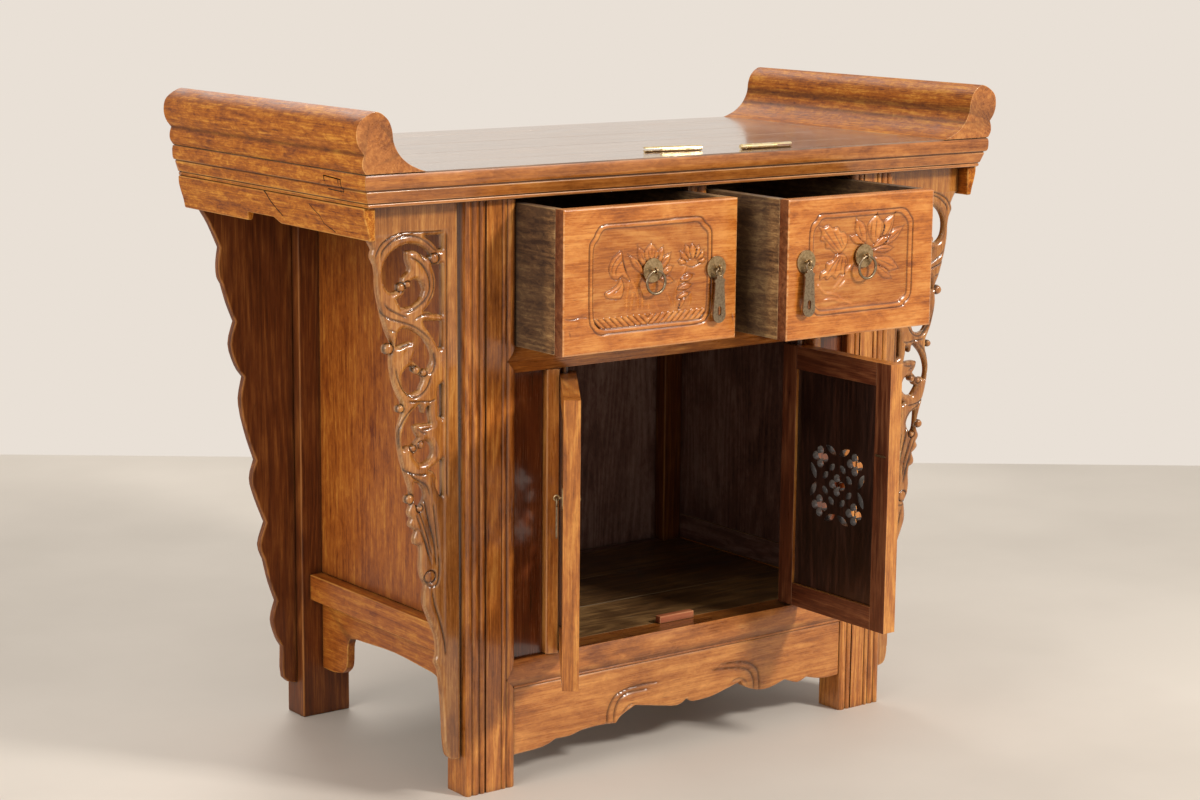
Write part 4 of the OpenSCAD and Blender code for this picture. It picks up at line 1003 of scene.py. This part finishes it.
def apron_relief(spots, reach):
    """The carving of the apron: strings, each in a shallow hollow, and a rounded edge."""
    lines = np.zeros(len(spots))
    cut(lines, spots, APRON_STRINGS, 1.4, 1.8)
    cut(lines, spots, APRON_STRINGS[:4], 4.5, 0.7)
    # The strings' grooves are darkened: dirt and painted shade
    return lines + 1.4 * bell(reach / 1.3), 0.4 * lines


carve("front_apron", "rail", "front_wood", 1.6, apron_relief)

# %% [markdown]
# Old joints show as fine dark lines: the end of a through tenon in the top's left end, the scarf
# and the patch in the left cleat. Each is a thin strip of dirt laid on the face that it crosses.

# %% Joints that show
# In millimetres: a place left of the cabinet, a step along a strip, and its lift off the face
OUTSIDE, STEP, LIFT = -600, 3, 0.12
# Node, width in millimetres, corners as places back and up
SEAMS = {
    "left_tenon_line": ("top_left_end", 1.4,
                        [(71, 789), (32, 787), (32, 772), (67, 773), (71, 789)]),
    "left_tenon_wedge": ("top_left_end", 1.4, [(38, 788), (38, 771)]),
    "left_scarf_line": ("left_cleat", 1.8,
                        [(234, 759), (222, 753), (212, 744), (202, 736), (191, 728)]),
    "left_patch_line": ("left_cleat", 1.2,
                        [(118, 750), (108, 744), (98, 738), (92, 728), (80, 724), (69, 720)]),
}


def dark_joint():
    """Dirt and old glue in a joint, dull and nearly black."""
    material, tree = new_material("dark_joint")
    colour = ramp(tree, patches(tree, 3, 2.0), [(0.3, "#120903"), (0.7, "#3A2010")])
    return finished(material, {"Base Color": colour, "Roughness": 0.7})


JOINT = dark_joint()


def seam(name, node, width_mm, corners):
    """Lays a strip of dirt on the left face of a node, from corner to corner."""
    skin = merged_copy(node)
    tree = BVHTree.FromBMesh(skin)
    skin.free()
    bm = bmesh.new()
    rows = []
    for (y0, z0), (y1, z1) in zip(corners, corners[1:]):
        along = Vector((0, y1 - y0, z1 - z0))
        steps = max(2, round(along.length / STEP))
        for step in range(steps + 1):
            start = place(OUTSIDE, y0 + along.y * step / steps, z0 + along.z * step / steps)
            hit, normal, _, _ = tree.ray_cast(start, Vector((1, 0, 0)))
            if hit is None:
                continue
            across = along.cross(normal).normalized() * width_mm * MM / 2
            lift = normal * LIFT * MM
            rows.append([bm.verts.new(hit + lift + across), bm.verts.new(hit + lift - across)])
    for (a, b), (c, d) in zip(rows, rows[1:]):
        if (a.co - c.co).length > 0.01 * MM:
            bm.faces.new((a, b, d, c))
    # The strip's back lies on its front
    bmesh.ops.solidify(bm, geom=bm.faces, thickness=0)
    bmesh.ops.recalc_face_normals(bm, faces=bm.faces)
    finish_mesh(bm, name, node, JOINT, "end_wood")


for name, seam_of in SEAMS.items():
    seam(name, *seam_of)
print(len(SEAMS), "joint lines laid")

# %% [markdown]
# The fittings are of iron and brass. Old iron is grey where it is worn and brown where rust and wax
# have settled, so its tone changes over a few millimetres. The drawers' hasps get their necks and
# ears here, and their rings a thicker wire.


# %% Metals
def metal(name, paler, dull, rough, grain_mm, bump):
    """A metal in patches of the given size: worn ones are smooth, dull ones rough."""
    material, tree = new_material(name)
    patch = patches(tree, grain_mm, 5.0, 0.65)
    colour = ramp(tree, patch, [(0.38, dull), (0.62, paler)])
    gloss = span(tree, patch, 0.35, 0.65, rough[1], rough[0])
    height = add(tree, "Bump", {"Height": patch, "Strength": bump, "Distance": 0.4 * MM})
    return finished(material, {"Base Color": colour, "Roughness": gloss, "Metallic": 1.0,
                               "Normal": height.outputs["Normal"]})


def handled_iron():
    """Wrought iron, handled and waxed: rings, hasps and pulls."""
    return metal("handled_iron", "#9A8970", "#74624E", (0.3, 0.5), 3, 0.12)


def bronzed_plate():
    """Brass gone olive brown: the round plates."""
    return metal("bronzed_plate", "#B89E78", "#86704E", (0.32, 0.5), 4, 0.15)


def bright_brass():
    """Brass, turned and polished: the lock pins."""
    return metal("bright_brass", "#FFF0C8", "#DCC48C", (0.14, 0.28), 9, 0.1)


IRON, PLATE, BRASS = handled_iron(), bronzed_plate(), bright_brass()

# Radius of the wire of rings and loops, and how much thicker a drawer's ring looks
WIRE, THICKER = 1.3 * MM, 0.45 * MM
# Share of a hasp's width at a distance below its pivot: neck, ears, waist and full end. The core
# round its slot keeps its width
HASP_SHARES = [(9, 1.0), (10.5, 0.62), (12.5, 0.62), (14, 0.98), (16, 1.05), (18, 0.86),
               (32, 0.9), (59, 1.0)]
HASP_CORE = 4 * MM


def shape_hasp(bm):
    """Gives a hasp its neck and ears."""
    pivot = extent(bm, 2)[1] - WIRE
    middle = sum(extent(bm, 0)) / 2
    slice_board(bm, 2, [pivot - below * MM for below, _ in HASP_SHARES])
    for vert in bm.verts:
        if abs(vert.co.x - middle) > HASP_CORE:
            share = np.interp((pivot - vert.co.z) / MM, *zip(*HASP_SHARES))
            vert.co.x = middle + (vert.co.x - middle) * share


def thicken_ring(bm):
    """Makes the wire of a ring as thick as the worn one."""
    bm.normal_update()
    for vert in bm.verts:
        vert.co += vert.normal * THICKER


for side in SIDES:
    for part, reshape in (("hasp", shape_hasp), ("ring", thicken_ring)):
        node = f"{side}_drawer_{part}"
        bm = welded_copy(node)
        reshape(bm)
        finish_mesh(bm, node + "_shaped", node, IRON, "iron")
print("hasps and rings shaped")

for node, thing in NODES.items():
    finish = (BRASS if "pin" in node else PLATE if "plate" in node
              else IRON if node.endswith("pull") else None)
    if finish:
        thing.data.materials.clear()
        thing.data.materials.append(finish)
        for polygon in thing.data.polygons:
            polygon.material_index = 0
print("metals:", IRON.name, PLATE.name, BRASS.name)

# %% [markdown]
# The stage is a pale floor that ends behind the cabinet, and a pale surrounding that only the
# camera and reflections see. Three soft square lamps light the front from the right, the left side
# and the back edge.

# %% Floor, surroundings and lamps
WARM_WHITE = "#FFF8F0"
# Half the floor's width, and how far behind the middle it ends, in metres
FLOOR_HALF, FLOOR_BACK = 6, 1.74


def floor_finish():
    """Limewashed concrete, matt and pale."""
    material, tree = new_material("pale_floor")
    colour = ramp(tree, patches(tree, 625, 5.0), [(0.35, "#CFC9C0"), (0.65, "#DBD5CC")])
    return finished(material, {"Base Color": colour, "Roughness": 0.6})


bm = bmesh.new()
bmesh.ops.create_grid(bm, x_segments=1, y_segments=1, size=FLOOR_HALF)
bmesh.ops.translate(bm, verts=bm.verts, vec=(0, FLOOR_BACK - FLOOR_HALF, 0))
bmesh.ops.rotate(bm, verts=bm.verts, matrix=Matrix.Rotation(-YAW, 3, "Z"))
mesh = bpy.data.meshes.new("floor")
bm.to_mesh(mesh)
bm.free()
mesh.materials.append(floor_finish())
floor = new_object("floor", mesh)

world = bpy.data.worlds.new("surroundings")
bpy.context.scene.world = world
world.use_nodes = True
tree = world.node_tree
tree.nodes.clear()
ray = add(tree, "LightPath").outputs
seen = add(tree, "Math", {0: ray["Is Camera Ray"], 1: ray["Is Glossy Ray"]}, operation="ADD")
seen = add(tree, "Math", {0: seen.outputs[0], 1: ray["Is Transmission Ray"]}, operation="ADD",
           use_clamp=True)
light = add(tree, "Background", {"Color": linear(WARM_WHITE), "Strength": 0.42})
wall = add(tree, "Background", {"Color": linear("#E9E0D6"), "Strength": 1.0})
mixed = add(tree, "MixShader", {0: seen.outputs[0], 1: light.outputs[0], 2: wall.outputs[0]})
add(tree, "OutputWorld", {"Surface": mixed.outputs[0]})


def lamp(name, where, size, power):
    """A soft square lamp that shines towards the middle of the cabinet."""
    data = bpy.data.lights.new(name, "AREA")
    data.size = size
    data.energy = power
    data.color = linear(WARM_WHITE)[:3]
    thing = new_object(name, data)
    thing.location = where
    ray = Vector((0, 0, 0.45)) - Vector(where)
    thing.rotation_euler = ray.to_track_quat("-Z", "Y").to_euler()


lamp("key_lamp", (1.6, -3.4, 2.8), 0.6, 142)
lamp("fill_lamp", (-3.3, -0.9, 1.9), 2.0, 58)
lamp("back_lamp", (0.6, 2.4, 2.6), 1.6, 35)
print("stage and lamps set")
